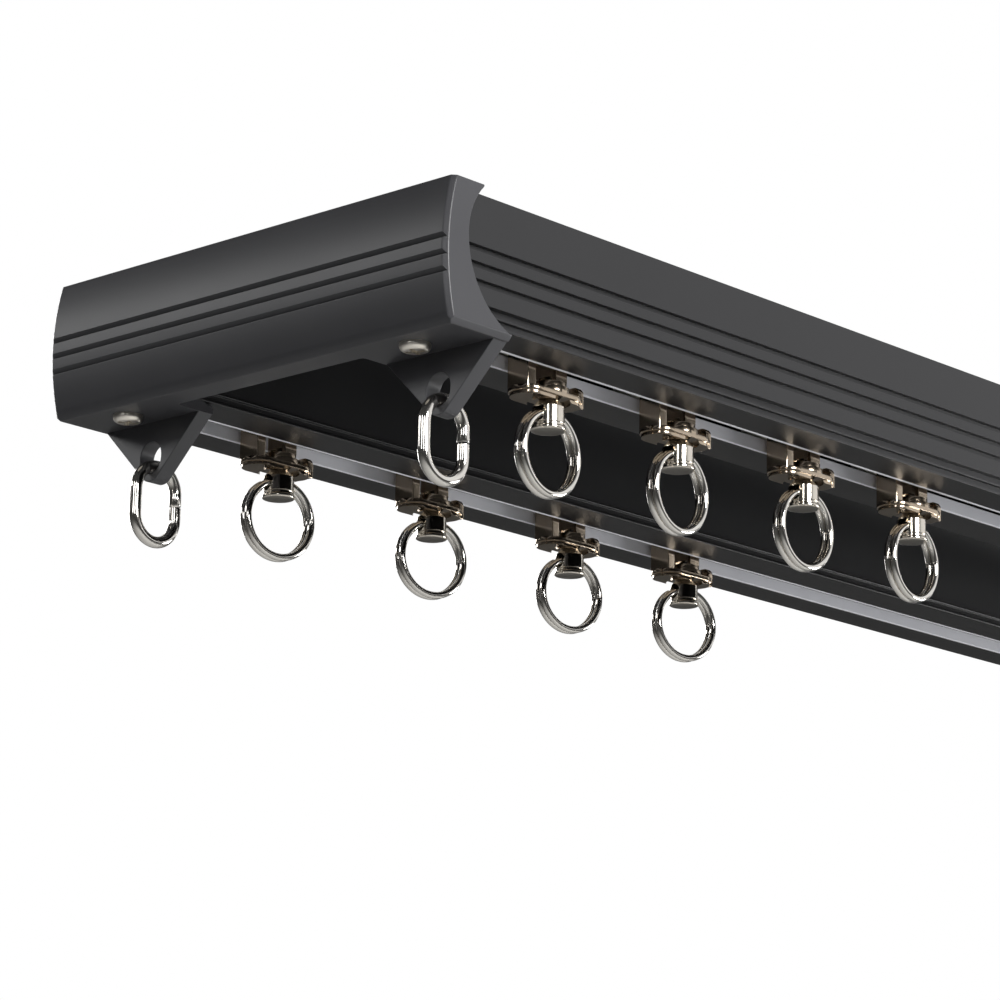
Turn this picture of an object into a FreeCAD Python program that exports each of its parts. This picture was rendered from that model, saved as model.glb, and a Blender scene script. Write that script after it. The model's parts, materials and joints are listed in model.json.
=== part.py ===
import FreeCAD, Part
import math
import os

# Two-lane ceiling curtain track with an end cap, lugs and links at each end and eight gliders on wheels.
# Units are mm. X runs along the track, +Z is up. The origin is the middle of the rail's flat top face.

# Driving dimensions
TRACK_LENGTH = 600.0  # between the outer edges of the two end faces
LANE_OFFSET = 37.0  # from the middle of the track to the middle of each lane
CHANNEL_OUTER = 10.3  # from the middle of a lane to the inner face of its side wall
CHANNEL_INNER = 11.6  # from the middle of a lane to the inner face of its inner wall
RAIL_HEIGHT = 22.9  # from the top face down to the underside of the channel lips
SLOT_WIDTH = 7.0  # clear slot between two liners
WHEEL_DIA = 10.0
RING_OUTER_DIA = 16.2
RING_WIRE = 1.4
LINK_WIRE = 2.25

# Fits and clearances
SLIDE_FIT = 0.1  # between the rail and the shell of an end cap
RUNNING_FIT = 0.05  # radial, round an axle or a spigot
SCREW_FIT = 0.2  # radial, round a screw in its clearance hole
ROLL_GAP = 0.15  # under a wheel at rest
RIB_FIT = 0.05  # on each side of a liner's rib
TURN_GAP = 0.04  # between the two turns of a split ring
LINER_SIDE_GAP = 0.2  # between a liner and the side wall
NUT_SIDE_GAP = 2.3  # between a clamp nut and the side wall
LINK_REST_GAP = 0.5  # between a link's middle and the hole's lower end, where its bend seats on the lug

# Rail walls
TOP_THICK = 1.5
SIDE_THICK = 2.4
INNER_THICK = 1.4
LIP_THICK = 1.8
WAIST_HEIGHT = 3.5  # from the underside up to the full-width face of a side wall
WAIST_DEEP = 1.3  # how far the two lower grooves are set into a side wall
WAIST_RIB = 0.4  # height of the thin rib between the two lower grooves
WAIST_RIB_LEVEL = 1.75  # from the underside up to the rib
WAIST_RIB_IN = 0.4  # the rib ends this much inside the full-width face
FOOT_HEIGHT = 0.5
FOOT_IN = 0.3  # the foot ends this much inside the full-width face
FOOT_ROUND = 0.2
FOOT_STEP = 0.6  # how far the rib and foot stand out from an inner wall
GROOVE_DEPTHS = (9.7, 12.7, 15.7)  # below the top face
GROOVE_WIDTH = 1.1
GROOVE_DEEP = 0.6
EDGE_ROUND = 0.4

# Bracket groove along the middle of the top
BRACKET_MOUTH = 10.0
BRACKET_WIDTH = 16.0
BRACKET_LIP = 1.4
BRACKET_DEPTH = 4.6
BRACKET_WALL = 1.4

# Liners
LINER_THICK = 0.8
RIB_WIDTH = 0.9
RIB_DEEP = 0.6
RIB_FROM_SLOT = 3.0  # from the lip's edge to the middle of the rib

# End cap
CAP_SIDE_WALL = 1.35
CAP_TOP_WALL = 1.2
CAP_FRONT_WALL = 2.0
CAP_FLOOR = 1.9
CAP_BAND = 1.1  # height of the slanted band round the lower edge
CAP_BAND_IN = 0.9
CAP_BULGE = 1.72  # how far the rounded end face stands out in the middle
CAP_WAIST_REACH = 4.0  # narrowest reach of the side flange
CAP_WAIST_DEPTH = 7.95
CAP_UPPER_SPARE = 3.45  # the upper hollow's radius over its height
CAP_LOWER_SPARE = 1.25  # the lower hollow's radius over its height
CAP_PLATE_REACH = 6.4
CAP_CORNER_R = 1.0
CAP_CHAMFER = 0.8  # on the two upright corners of the end face
CAP_GROOVE_SHIFT = 0.1  # the cap's grooves sit this much lower than the rail's

# Lugs and links
LUG_FACE = 11.9  # from the end face to the lug's front face
LUG_THICK = 3.4
LUG_DROP = 11.4  # below the cap's floor
LUG_SLOPE = 44.5  # degrees
LUG_NOSE_R = 3.0
LUG_HOLE_WIDTH = 5.6
LUG_HOLE_TOP = 3.7  # below the cap's floor
LUG_UNDER_HOLE = 1.55  # from the hole's lower end to the lug's tip
LINK_WIDTH = 11.95
LINK_HEIGHT = 16.6
LINK_SPLIT = 0.25
LINK_SPLIT_FROM_BELOW = 8.6  # from the link's lowest point to the split

# Cap screws and clamp nuts
SCREW_FROM_END = 6.0
SCREW_DIA = 3.0
SCREW_HEAD_DIA = 5.6
SCREW_HEAD = 1.4
SCREW_CROWN = 1.0  # radius of the head's rounded rim
SCREW_PAST_NUT = 0.8
RECESS_LONG = 3.0
RECESS_WIDE = 0.75
RECESS_DEEP = 0.7
NUT_END_GAP = 0.4  # between a nut and the end of the channel
NUT_THICK = 3.0
THREAD_FIT = 0.04  # radial, between a screw's thread and its nut

# Glider carriage, x measured from the swivel axis
FOOT_LEFT = -9.0
FOOT_RIGHT = 7.0
FOOT_WIDE = 7.5
FOOT_THICK = 1.0
FOOT_BELOW_LIP = 3.5  # from the lip's underside to the top of the foot plate
PAD_THICK = 0.65  # the two end pads under the foot plate
PAD_IN = 0.35  # from the plate's edge to the pads
PAD_POCKET_DIA = 7.8  # round pocket between the pads, round the swivel
BOSS_LOW_DIA = 7.6
BOSS_HIGH_DIA = 6.4
BOSS_STEP = 1.0
STEM_WIDE = 5.0  # across the slot
POST_LEFT = -8.2
POST_RIGHT = -6.1
NECK_LEFT = -0.95
NECK_RIGHT = 2.1
STOP_THICK = 1.4  # upright stop at the plate's right end
STOP_WIDE = 5.0
STOP_HIGH = 2.3  # above the foot plate
STOP_IN = 0.4  # from the plate's right end
BAR_MIDDLE = -1.0
BAR_LONG = 17.2
BAR_BELOW_AXLE = 3.4
BAR_ABOVE_AXLE = 2.6
BAR_ROUND = 2.0
AXLE_SPACING = 10.6
WINDOW_WIDE = 3.2
WINDOW_HIGH = 1.1

# Wheels
AXLE_DIA = 2.0
WHEEL_INNER = 3.2  # from the middle of the slot to the inner side of a wheel
WHEEL_OUTER = 7.5
WHEEL_EDGE = 0.4
HUB_DIA = 3.8
HUB_GAP = 0.1
AXLE_END = 7.9

# Swivel eye
SPIGOT_DIA = 2.0
HEAD_DIA = 3.0
HEAD_HIGH = 0.8
EYE_PLAY = 0.05
EYE_NECK_DIA = 3.6
EYE_DIA = 5.9
EYE_SHOULDER = 1.4  # height of the taper under the foot plate
EYE_HOLE_DIA = 3.1
EYE_HOLE_DROP = 2.7  # from the foot plate's underside to the middle of the hole
EYE_MOUTH = 0.2
EYE_FLANGE_DIA = 6.4
EYE_FLANGE = 0.85
EYE_FLANGE_R = 0.34
EYE_DROP = 5.75  # from the foot plate's underside to the end of the eye
EYE_LINE_ABOVE = 0.5  # fine groove above the flange
EYE_LINE = 0.24

# Split ring
RING_CROSSING = 34.0  # degrees of the step from one turn to the other
RING_OPEN = 8.0  # degrees between the wire's end and the step
RING_END_AT = 118.0  # where the first turn starts, degrees from +X

# Places of the gliders: x from the left end face, turn of the eye about its upright axis in degrees
FRONT_GLIDERS = ((40.1, 2.5), (75.7, 2.5), (112.95, 0.0), (147.5, 3.0))
REAR_GLIDERS = ((44.7, -8.0), (87.0, -11.5), (128.4, -10.0), (165.4, -11.5))

# Values that follow from the ones above
END_FACE = -TRACK_LENGTH / 2
RAIL_END = END_FACE + CAP_FRONT_WALL + SLIDE_FIT
HALF_WIDTH = LANE_OFFSET + CHANNEL_OUTER + SIDE_THICK
INNER_FACE = LANE_OFFSET - CHANNEL_INNER - INNER_THICK
LIP_TOP = -RAIL_HEIGHT + LIP_THICK
RUN_LEVEL = LIP_TOP + LINER_THICK
NUT_LONG = 2 * (SCREW_FROM_END - CAP_FRONT_WALL - SLIDE_FIT - NUT_END_GAP)
NUT_WIDE = 2 * (CHANNEL_OUTER - NUT_SIDE_GAP)
METAL_SLOT = SLOT_WIDTH / 2 + LINER_THICK
LINER_RUN = CHANNEL_OUTER - METAL_SLOT - LINER_SIDE_GAP
CAP_HALF = HALF_WIDTH + SLIDE_FIT + CAP_SIDE_WALL
CAP_TOP = SLIDE_FIT + CAP_TOP_WALL
CAP_BOTTOM = -RAIL_HEIGHT - CAP_FLOOR
CAP_EDGE = CAP_BOTTOM + CAP_BAND
CAP_UPPER_R = CAP_TOP + CAP_WAIST_DEPTH + CAP_UPPER_SPARE
CAP_LOWER_R = -CAP_EDGE - CAP_WAIST_DEPTH + CAP_LOWER_SPARE
LUG_BACK = LUG_FACE + LUG_THICK
LUG_MIDDLE = LUG_FACE + LUG_THICK / 2
LUG_HOLE_BOTTOM = LUG_DROP - LUG_UNDER_HOLE
LINK_TOP = CAP_BOTTOM - LUG_HOLE_BOTTOM + LINK_REST_GAP + LINK_WIRE
AXLE_LEVEL = RUN_LEVEL + ROLL_GAP + WHEEL_DIA / 2
FOOT_TOP = -RAIL_HEIGHT - FOOT_BELOW_LIP
FOOT_BOTTOM = FOOT_TOP - FOOT_THICK
BOSS_TOP = FOOT_TOP + 2 * BOSS_STEP
EYE_HOLE_LEVEL = FOOT_BOTTOM - EYE_HOLE_DROP
PAD_BOTTOM = FOOT_BOTTOM - PAD_THICK
RING_RADIUS = (RING_OUTER_DIA - RING_WIRE) / 2
RING_LIFT = (RING_RADIUS - math.sqrt(RING_RADIUS**2 - (EYE_DIA / 2) ** 2)) / 2
RING_LEVEL = EYE_HOLE_LEVEL + RING_LIFT - RING_RADIUS
RING_SIDE = (RING_WIRE + TURN_GAP) / 2

UP = FreeCAD.Vector(0, 0, 1)
ALONG = FreeCAD.Vector(1, 0, 0)
ACROSS = FreeCAD.Vector(0, 1, 0)
REACH = 2 * HALF_WIDTH  # longer than any cut has to be


def box(x0, x1, y0, y1, z0, z1):
    """A box between the given limits."""
    return Part.makeBox(x1 - x0, y1 - y0, z1 - z0, FreeCAD.Vector(x0, y0, z0))


def rod(radius, start, end):
    """A cylinder from one point to another."""
    a = FreeCAD.Vector(*start)
    b = FreeCAD.Vector(*end)
    return Part.makeCylinder(radius, (b - a).Length, a, b - a)


def corner(before, at, after, radius):
    """The start, middle and end of the arc that rounds one corner of an outline."""
    u = (before - at).normalize()
    v = (after - at).normalize()
    half = u.getAngle(v) / 2
    run = radius / math.tan(half)
    middle = (u + v).normalize() * (radius / math.sin(half) - radius)
    return at + u * run, at + middle, at + v * run


def outline(points, place):
    """A closed face from (a, b) or (a, b, corner radius) points; place turns a and b into a vector."""
    spots = [place(p[0], p[1]) for p in points]
    edges = []
    last = None
    first = None
    for i, point in enumerate(points):
        radius = point[2] if len(point) > 2 else 0.0
        start = end = spots[i]
        if radius:
            start, middle, end = corner(spots[i - 1], spots[i], spots[(i + 1) % len(spots)], radius)
        if last is not None:
            edges.append(Part.makeLine(last, start))
        if radius:
            edges.append(Part.Arc(start, middle, end).toShape())
        first = first or start
        last = end
    edges.append(Part.makeLine(last, first))
    return Part.Face(Part.Wire(edges))


def section_x(points, x0, x1):
    """A solid whose (y, z) outline runs from x0 to x1."""
    face = outline(points, lambda y, z: FreeCAD.Vector(x0, y, z))
    return face.extrude(ALONG * (x1 - x0))


def section_y(points, y0, y1):
    """A solid whose (x, z) outline runs from y0 to y1."""
    face = outline(points, lambda x, z: FreeCAD.Vector(x, y0, z))
    return face.extrude(ACROSS * (y1 - y0))


def section_z(points, z0, z1):
    """A solid whose (x, y) outline runs from z0 to z1."""
    face = outline(points, lambda x, y: FreeCAD.Vector(x, y, z0))
    return face.extrude(UP * (z1 - z0))


def turned(points, x, y):
    """A solid of revolution about the upright line at x, y from (radius, z) points."""
    face = outline(points, lambda r, z: FreeCAD.Vector(x + r, y, z))
    return face.revolve(FreeCAD.Vector(x, y, 0), UP, 360)


def mirrored_x(shape):
    """The same shape at the other end of the track."""
    return shape.mirror(FreeCAD.Vector(0, 0, 0), ALONG)


def lane_side(lane, y):
    """The y of a point measured from the middle of a lane, away from the middle of the track."""
    return math.copysign(LANE_OFFSET + y, lane)


def rail_half():
    """The rail's outline on the +Y side, from the middle of the bracket groove round to its underside."""
    roof = -TOP_THICK
    bracket_floor = -BRACKET_LIP - BRACKET_DEPTH
    bracket_wall = BRACKET_WIDTH / 2 + BRACKET_WALL
    points = [
        (0.0, bracket_floor),
        (BRACKET_WIDTH / 2, bracket_floor),
        (BRACKET_WIDTH / 2, -BRACKET_LIP),
        (BRACKET_MOUTH / 2, -BRACKET_LIP),
        (BRACKET_MOUTH / 2, 0.0),
        (HALF_WIDTH, 0.0, EDGE_ROUND),
    ]
    for depth in GROOVE_DEPTHS:
        points += [
            (HALF_WIDTH, -depth + GROOVE_WIDTH / 2),
            (HALF_WIDTH - GROOVE_DEEP, -depth + GROOVE_WIDTH / 2),
            (HALF_WIDTH - GROOVE_DEEP, -depth - GROOVE_WIDTH / 2),
            (HALF_WIDTH, -depth - GROOVE_WIDTH / 2),
        ]
    points.append((HALF_WIDTH, -RAIL_HEIGHT + WAIST_HEIGHT, FOOT_ROUND))
    points.append((HALF_WIDTH - WAIST_DEEP, -RAIL_HEIGHT + WAIST_HEIGHT))
    points += rib_and_foot(HALF_WIDTH - WAIST_DEEP, HALF_WIDTH - WAIST_RIB_IN, HALF_WIDTH - FOOT_IN)
    points.append((LANE_OFFSET + METAL_SLOT, -RAIL_HEIGHT))
    points += lip_top(1)
    points += [
        (LANE_OFFSET + CHANNEL_OUTER, LIP_TOP),
        (LANE_OFFSET + CHANNEL_OUTER, roof),
        (INNER_FACE + INNER_THICK, roof),
        (INNER_FACE + INNER_THICK, LIP_TOP),
    ]
    points += reversed(lip_top(-1))
    points.append((LANE_OFFSET - METAL_SLOT, -RAIL_HEIGHT))
    points += reversed(rib_and_foot(INNER_FACE, INNER_FACE - FOOT_STEP, INNER_FACE - FOOT_STEP))
    points += [
        (INNER_FACE, roof),
        (bracket_wall, roof),
        (bracket_wall, bracket_floor - BRACKET_WALL),
        (0.0, bracket_floor - BRACKET_WALL),
    ]
    return points


def rib_and_foot(face, rib, foot):
    """Points down the foot of a wall: past a thin rib to the rounded edge of the underside."""
    rib_low = -RAIL_HEIGHT + WAIST_RIB_LEVEL
    return [
        (face, rib_low + WAIST_RIB),
        (rib, rib_low + WAIST_RIB),
        (rib, rib_low),
        (face, rib_low),
        (face, -RAIL_HEIGHT + FOOT_HEIGHT),
        (foot, -RAIL_HEIGHT + FOOT_HEIGHT),
        (foot, -RAIL_HEIGHT, FOOT_ROUND),
    ]


def lip_top(side):
    """Points along the top of a lip from the slot outwards, with the groove for a liner's rib."""
    near = LANE_OFFSET + side * METAL_SLOT
    middle = near + side * RIB_FROM_SLOT
    half = side * (RIB_WIDTH / 2 + RIB_FIT)
    floor = LIP_TOP - RIB_DEEP - RIB_FIT
    return [
        (near, LIP_TOP),
        (middle - half, LIP_TOP),
        (middle - half, floor),
        (middle + half, floor),
        (middle + half, LIP_TOP),
    ]


def track_rail():
    """The extruded rail with two hollow channels, an open recess between them and a bracket groove."""
    half = section_x(rail_half(), RAIL_END, -RAIL_END)
    other = half.mirror(FreeCAD.Vector(0, 0, 0), ACROSS)
    return half.fuse(other).removeSplitter()


def liner(lane, side):
    """A quiet strip that wraps the slot edge of one lip and carries the wheels."""
    edge = SLOT_WIDTH / 2
    middle = METAL_SLOT + RIB_FROM_SLOT
    far = METAL_SLOT + LINER_RUN
    profile = [
        (edge, -RAIL_HEIGHT),
        (METAL_SLOT, -RAIL_HEIGHT),
        (METAL_SLOT, LIP_TOP),
        (middle - RIB_WIDTH / 2, LIP_TOP),
        (middle - RIB_WIDTH / 2, LIP_TOP - RIB_DEEP),
        (middle + RIB_WIDTH / 2, LIP_TOP - RIB_DEEP),
        (middle + RIB_WIDTH / 2, LIP_TOP),
        (far, LIP_TOP),
        (far, RUN_LEVEL),
        (edge, RUN_LEVEL, EDGE_ROUND),
    ]
    points = [(lane_side(lane, side * p[0]),) + p[1:] for p in profile]
    return section_x(points, RAIL_END, -RAIL_END)


def cap_side_outline():
    """The side view of a cap: rounded end face, top edge, hollowed rear edge and slanted lower band."""
    def at(x, z):
        return FreeCAD.Vector(END_FACE + x, -CAP_HALF, z)

    waist = -CAP_WAIST_DEPTH
    middle = (CAP_TOP + CAP_EDGE) / 2
    upper = arc_reach(CAP_UPPER_R, CAP_TOP - EDGE_ROUND)
    foot = arc_reach(CAP_LOWER_R, CAP_EDGE)
    edges = [
        Part.Arc(at(0, CAP_EDGE), at(-CAP_BULGE, middle), at(0, CAP_TOP)).toShape(),
        Part.makeLine(at(0, CAP_TOP), at(upper, CAP_TOP)),
        Part.makeLine(at(upper, CAP_TOP), at(upper, CAP_TOP - EDGE_ROUND)),
        arc_between(at, CAP_UPPER_R, CAP_TOP - EDGE_ROUND, waist),
        arc_between(at, CAP_LOWER_R, waist, CAP_EDGE),
        Part.makeLine(at(foot, CAP_EDGE), at(LUG_BACK, CAP_EDGE)),
        Part.makeLine(at(LUG_BACK, CAP_EDGE), at(LUG_BACK, CAP_BOTTOM)),
        Part.makeLine(at(LUG_BACK, CAP_BOTTOM), at(CAP_BAND_IN, CAP_BOTTOM)),
        Part.makeLine(at(CAP_BAND_IN, CAP_BOTTOM), at(0, CAP_EDGE)),
    ]
    return Part.Face(Part.Wire(edges))


def arc_reach(radius, z):
    """How far the hollowed rear edge of a cap reaches at height z."""
    rise = z + CAP_WAIST_DEPTH
    return CAP_WAIST_REACH + radius - math.sqrt(radius**2 - rise**2)


def arc_between(at, radius, z0, z1):
    """The stretch of the hollowed rear edge between two heights."""
    zm = (z0 + z1) / 2
    spots = [at(arc_reach(radius, z), z) for z in (z0, zm, z1)]
    return Part.Arc(*spots).toShape()


def cap_body():
    """The cap's outer form with chamfered corners and slanted lower bands on its sides."""
    body = cap_side_outline().extrude(ACROSS * (2 * CAP_HALF))
    body = body.makeChamfer(CAP_CHAMFER, front_corners(body))
    keep = section_x(
        [
            (-CAP_HALF, CAP_TOP),
            (CAP_HALF, CAP_TOP),
            (CAP_HALF, CAP_EDGE),
            (CAP_HALF - CAP_BAND_IN, CAP_BOTTOM),
            (-CAP_HALF + CAP_BAND_IN, CAP_BOTTOM),
            (-CAP_HALF, CAP_EDGE),
        ],
        END_FACE - REACH,
        END_FACE + REACH,
    )
    return body.common(keep)


def front_corners(body):
    """The two curved upright edges between the end face and the sides."""
    found = []
    for edge in body.Edges:
        sides = {round(abs(v.Y) - CAP_HALF, 3) for v in edge.Vertexes}
        fronts = {round(v.X - END_FACE, 3) for v in edge.Vertexes}
        if sides == {0.0} and fronts == {0.0} and edge.Length < CAP_HALF:
            found.append(edge)
    return found


def cap_hollow():
    """The space inside a cap that the rail's end fills."""
    side = HALF_WIDTH + SLIDE_FIT
    front = END_FACE + CAP_FRONT_WALL
    return box(front, END_FACE + REACH, -side, side, -RAIL_HEIGHT, SLIDE_FIT)


def cap_floor_opening():
    """The part of the floor that is left out between the two pads."""
    x0 = END_FACE + CAP_PLATE_REACH
    x1 = END_FACE + LUG_BACK + CAP_CORNER_R
    points = [
        (x0, -INNER_FACE, CAP_CORNER_R),
        (x1, -INNER_FACE),
        (x1, INNER_FACE),
        (x0, INNER_FACE, CAP_CORNER_R),
    ]
    return section_z(points, CAP_BOTTOM - CAP_BAND, -RAIL_HEIGHT + CAP_BAND)


def barrel_face(z):
    """The x of the rounded end face at height z."""
    half = (CAP_TOP - CAP_EDGE) / 2
    radius = (half**2 + CAP_BULGE**2) / (2 * CAP_BULGE)
    rise = z - (CAP_TOP + CAP_EDGE) / 2
    return END_FACE - CAP_BULGE + radius - math.sqrt(radius**2 - rise**2)


def cap_grooves():
    """Three grooves across the rounded end face, in line with the rail's."""
    cuts = []
    for depth in GROOVE_DEPTHS:
        z = -depth - CAP_GROOVE_SHIFT
        x1 = barrel_face(z) + GROOVE_DEEP
        half = GROOVE_WIDTH / 2
        cuts.append(box(END_FACE - REACH, x1, -REACH, REACH, z - half, z + half))
    return cuts


def lug(lane):
    """A pointed lug under the cap with an upright oval hole."""
    slope = math.radians(LUG_SLOPE)
    apex = CAP_BOTTOM - LUG_DROP + LUG_NOSE_R - LUG_NOSE_R / math.cos(slope)
    half = (CAP_BOTTOM - apex) / math.tan(slope)
    y = math.copysign(LANE_OFFSET, lane)
    x0 = END_FACE + LUG_FACE
    plate = section_x(
        [
            (y - half, -RAIL_HEIGHT),
            (y - half, CAP_BOTTOM),
            (y, apex, LUG_NOSE_R),
            (y + half, CAP_BOTTOM),
            (y + half, -RAIL_HEIGHT),
        ],
        x0,
        x0 + LUG_THICK,
    )
    top = CAP_BOTTOM - LUG_HOLE_TOP
    bottom = CAP_BOTTOM - LUG_HOLE_BOTTOM
    wide = LUG_HOLE_WIDTH / 2
    hole = box(x0, x0 + LUG_THICK, y - wide, y + wide, bottom + wide, top - wide)
    for z in (bottom + wide, top - wide):
        hole = hole.fuse(rod(wide, (x0, y, z), (x0 + LUG_THICK, y, z)))
    return plate.cut(hole)


def screw_places(end):
    """The x, y of the two screws of one end; end is -1 for the left cap and 1 for the right one."""
    x = end * (TRACK_LENGTH / 2 - SCREW_FROM_END)
    return [(x, -LANE_OFFSET), (x, LANE_OFFSET)]


def end_cap():
    """The left end cap: a shell over the rail's end with a floor, two pads and two lugs."""
    cap = cap_body().cut([cap_hollow(), cap_floor_opening()] + cap_grooves())
    cap = cap.fuse([lug(-1), lug(1)]).removeSplitter()
    radius = SCREW_DIA / 2 + SCREW_FIT
    holes = [rod(radius, (x, y, -REACH), (x, y, -RAIL_HEIGHT)) for x, y in screw_places(-1)]
    return cap.cut(holes)


def cap_screw(x, y):
    """A pan head screw with a cross recess, its head under the cap's floor and its end past the nut."""
    radius = SCREW_HEAD_DIA / 2
    base = CAP_BOTTOM - SCREW_HEAD
    end = RUN_LEVEL + NUT_THICK + SCREW_PAST_NUT
    shank = SCREW_DIA / 2 - THREAD_FIT
    screw = turned(
        [
            (0.0, base),
            (radius, base, SCREW_CROWN),
            (radius, CAP_BOTTOM),
            (shank, CAP_BOTTOM),
            (shank, end),
            (0.0, end),
        ],
        x,
        y,
    )
    long = RECESS_LONG / 2
    wide = RECESS_WIDE / 2
    slots = [
        box(x - long, x + long, y - wide, y + wide, base, base + RECESS_DEEP),
        box(x - wide, x + wide, y - long, y + long, base, base + RECESS_DEEP),
    ]
    return screw.cut(slots)


def clamp_nut(x, y):
    """A nut plate that bridges the slot from inside the channel."""
    long = NUT_LONG / 2
    wide = NUT_WIDE / 2
    plate = section_z(
        [
            (x - long, y - wide, EDGE_ROUND),
            (x + long, y - wide, EDGE_ROUND),
            (x + long, y + wide, EDGE_ROUND),
            (x - long, y + wide, EDGE_ROUND),
        ],
        RUN_LEVEL,
        RUN_LEVEL + NUT_THICK,
    )
    return plate.cut(rod(SCREW_DIA / 2, (x, y, RUN_LEVEL), (x, y, RUN_LEVEL + NUT_THICK)))


def link(lane):
    """An oval link of round wire in the left cap's lug, cut through on its inner leg."""
    wire = LINK_WIRE / 2
    x = END_FACE + LUG_MIDDLE
    y = math.copysign(LANE_OFFSET, lane)
    bend = (LINK_WIDTH - LINK_WIRE) / 2
    upper = LINK_TOP - wire - bend
    lower = LINK_TOP - LINK_HEIGHT + wire + bend

    def at(dx, z):
        return FreeCAD.Vector(x + dx, y, z)

    path = Part.Wire([
        Part.makeLine(at(-bend, lower), at(-bend, upper)),
        Part.Arc(at(-bend, upper), at(0, upper + bend), at(bend, upper)).toShape(),
        Part.makeLine(at(bend, upper), at(bend, lower)),
        Part.Arc(at(bend, lower), at(0, lower - bend), at(-bend, lower)).toShape(),
    ])
    section = Part.Wire([Part.Circle(at(-bend, lower), UP, wire).toShape()])
    solid = path.makePipeShell([section], True, True)
    z = LINK_TOP - LINK_HEIGHT + LINK_SPLIT_FROM_BELOW
    gap = LINK_SPLIT / 2
    return solid.cut(box(x, x + LINK_WIDTH, y - wire, y + wire, z - gap, z + gap))


def stadium(left, right, y, half, z0, z1):
    """A flat solid with round ends."""
    plate = box(left + half, right - half, y - half, y + half, z0, z1)
    return plate.fuse([rod(half, (c, y, z0), (c, y, z1)) for c in (left + half, right - half)])


def foot_plate(x, y):
    """The glider's round-ended foot plate with its end pads, its stop and the boss round the swivel."""
    half = FOOT_WIDE / 2
    left = x + FOOT_LEFT
    right = x + FOOT_RIGHT
    plate = stadium(left, right, y, half, FOOT_BOTTOM, FOOT_TOP)
    pads = stadium(left + PAD_IN, right - PAD_IN, y, half - PAD_IN, PAD_BOTTOM, FOOT_BOTTOM)
    pads = pads.cut(rod(PAD_POCKET_DIA / 2, (x, y, PAD_BOTTOM), (x, y, FOOT_BOTTOM)))
    bosses = [
        rod(BOSS_LOW_DIA / 2, (x, y, FOOT_TOP), (x, y, FOOT_TOP + BOSS_STEP)),
        rod(BOSS_HIGH_DIA / 2, (x, y, FOOT_TOP), (x, y, BOSS_TOP)),
    ]
    return plate.fuse([pads, end_stop(x, y)] + bosses)


def end_stop(x, y):
    """The upright stop with rounded corners at the foot plate's right end."""
    half = STOP_WIDE / 2
    x1 = x + FOOT_RIGHT - STOP_IN
    top = FOOT_TOP + STOP_HIGH
    points = [
        (y - half, PAD_BOTTOM),
        (y + half, PAD_BOTTOM),
        (y + half, top, STOP_THICK),
        (y - half, top, STOP_THICK),
    ]
    return section_x(points, x1 - STOP_THICK, x1)


def carriage_bar(x, y):
    """The upper body between the wheels."""
    low = AXLE_LEVEL - BAR_BELOW_AXLE
    high = AXLE_LEVEL + BAR_ABOVE_AXLE
    left = x + BAR_MIDDLE - BAR_LONG / 2
    right = left + BAR_LONG
    half = STEM_WIDE / 2
    points = [
        (left, low, BAR_ROUND),
        (right, low, BAR_ROUND),
        (right, high, BAR_ROUND),
        (left, high, BAR_ROUND),
    ]
    return section_y(points, y - half, y + half)


def carriage(x, y):
    """The cast glider body: bar in the channel, two stems through the slot and the foot plate below."""
    half = STEM_WIDE / 2
    low = AXLE_LEVEL - BAR_BELOW_AXLE + BAR_ROUND
    post = box(x + POST_LEFT, x + POST_RIGHT, y - half, y + half, FOOT_TOP, low)
    neck = box(x + NECK_LEFT, x + NECK_RIGHT, y - half, y + half, BOSS_TOP, low)
    body = carriage_bar(x, y).fuse([post, neck, foot_plate(x, y)]).removeSplitter()
    reach = BOSS_HIGH_DIA / 2
    wide = WINDOW_WIDE / 2
    window = box(x - reach, x + reach, y - wide, y + wide, BOSS_TOP, BOSS_TOP + WINDOW_HIGH)
    spigot = rod(SPIGOT_DIA / 2 + RUNNING_FIT, (x, y, FOOT_BOTTOM), (x, y, BOSS_TOP))
    bore = AXLE_DIA / 2 + RUNNING_FIT
    bores = [rod(bore, (c, y - half, AXLE_LEVEL), (c, y + half, AXLE_LEVEL)) for c in axle_places(x)]
    return body.cut([window, spigot] + bores)


def axle_places(x):
    """The x of the two axles of a glider."""
    middle = x + BAR_MIDDLE
    return middle - AXLE_SPACING / 2, middle + AXLE_SPACING / 2


def wheel_pair(x, y):
    """An axle with a wheel on each side of the carriage, turned in one piece."""
    wheel = WHEEL_DIA / 2
    hub = HUB_DIA / 2
    axle = AXLE_DIA / 2
    inner = STEM_WIDE / 2 + HUB_GAP
    half = [
        (0.0, 0.0),
        (axle, 0.0),
        (axle, inner),
        (hub, inner),
        (hub, WHEEL_INNER),
        (wheel, WHEEL_INNER, WHEEL_EDGE),
        (wheel, WHEEL_OUTER, WHEEL_EDGE),
        (hub, WHEEL_OUTER),
        (hub, AXLE_END),
        (0.0, AXLE_END),
    ]
    middle = FreeCAD.Vector(x, y, AXLE_LEVEL)
    sides = []
    for side in (-1, 1):
        face = outline(half, lambda r, d: middle + FreeCAD.Vector(r, side * d, 0))
        sides.append(face.revolve(middle, ACROSS, 360))
    return sides[0].fuse(sides[1]).removeSplitter()


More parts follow.
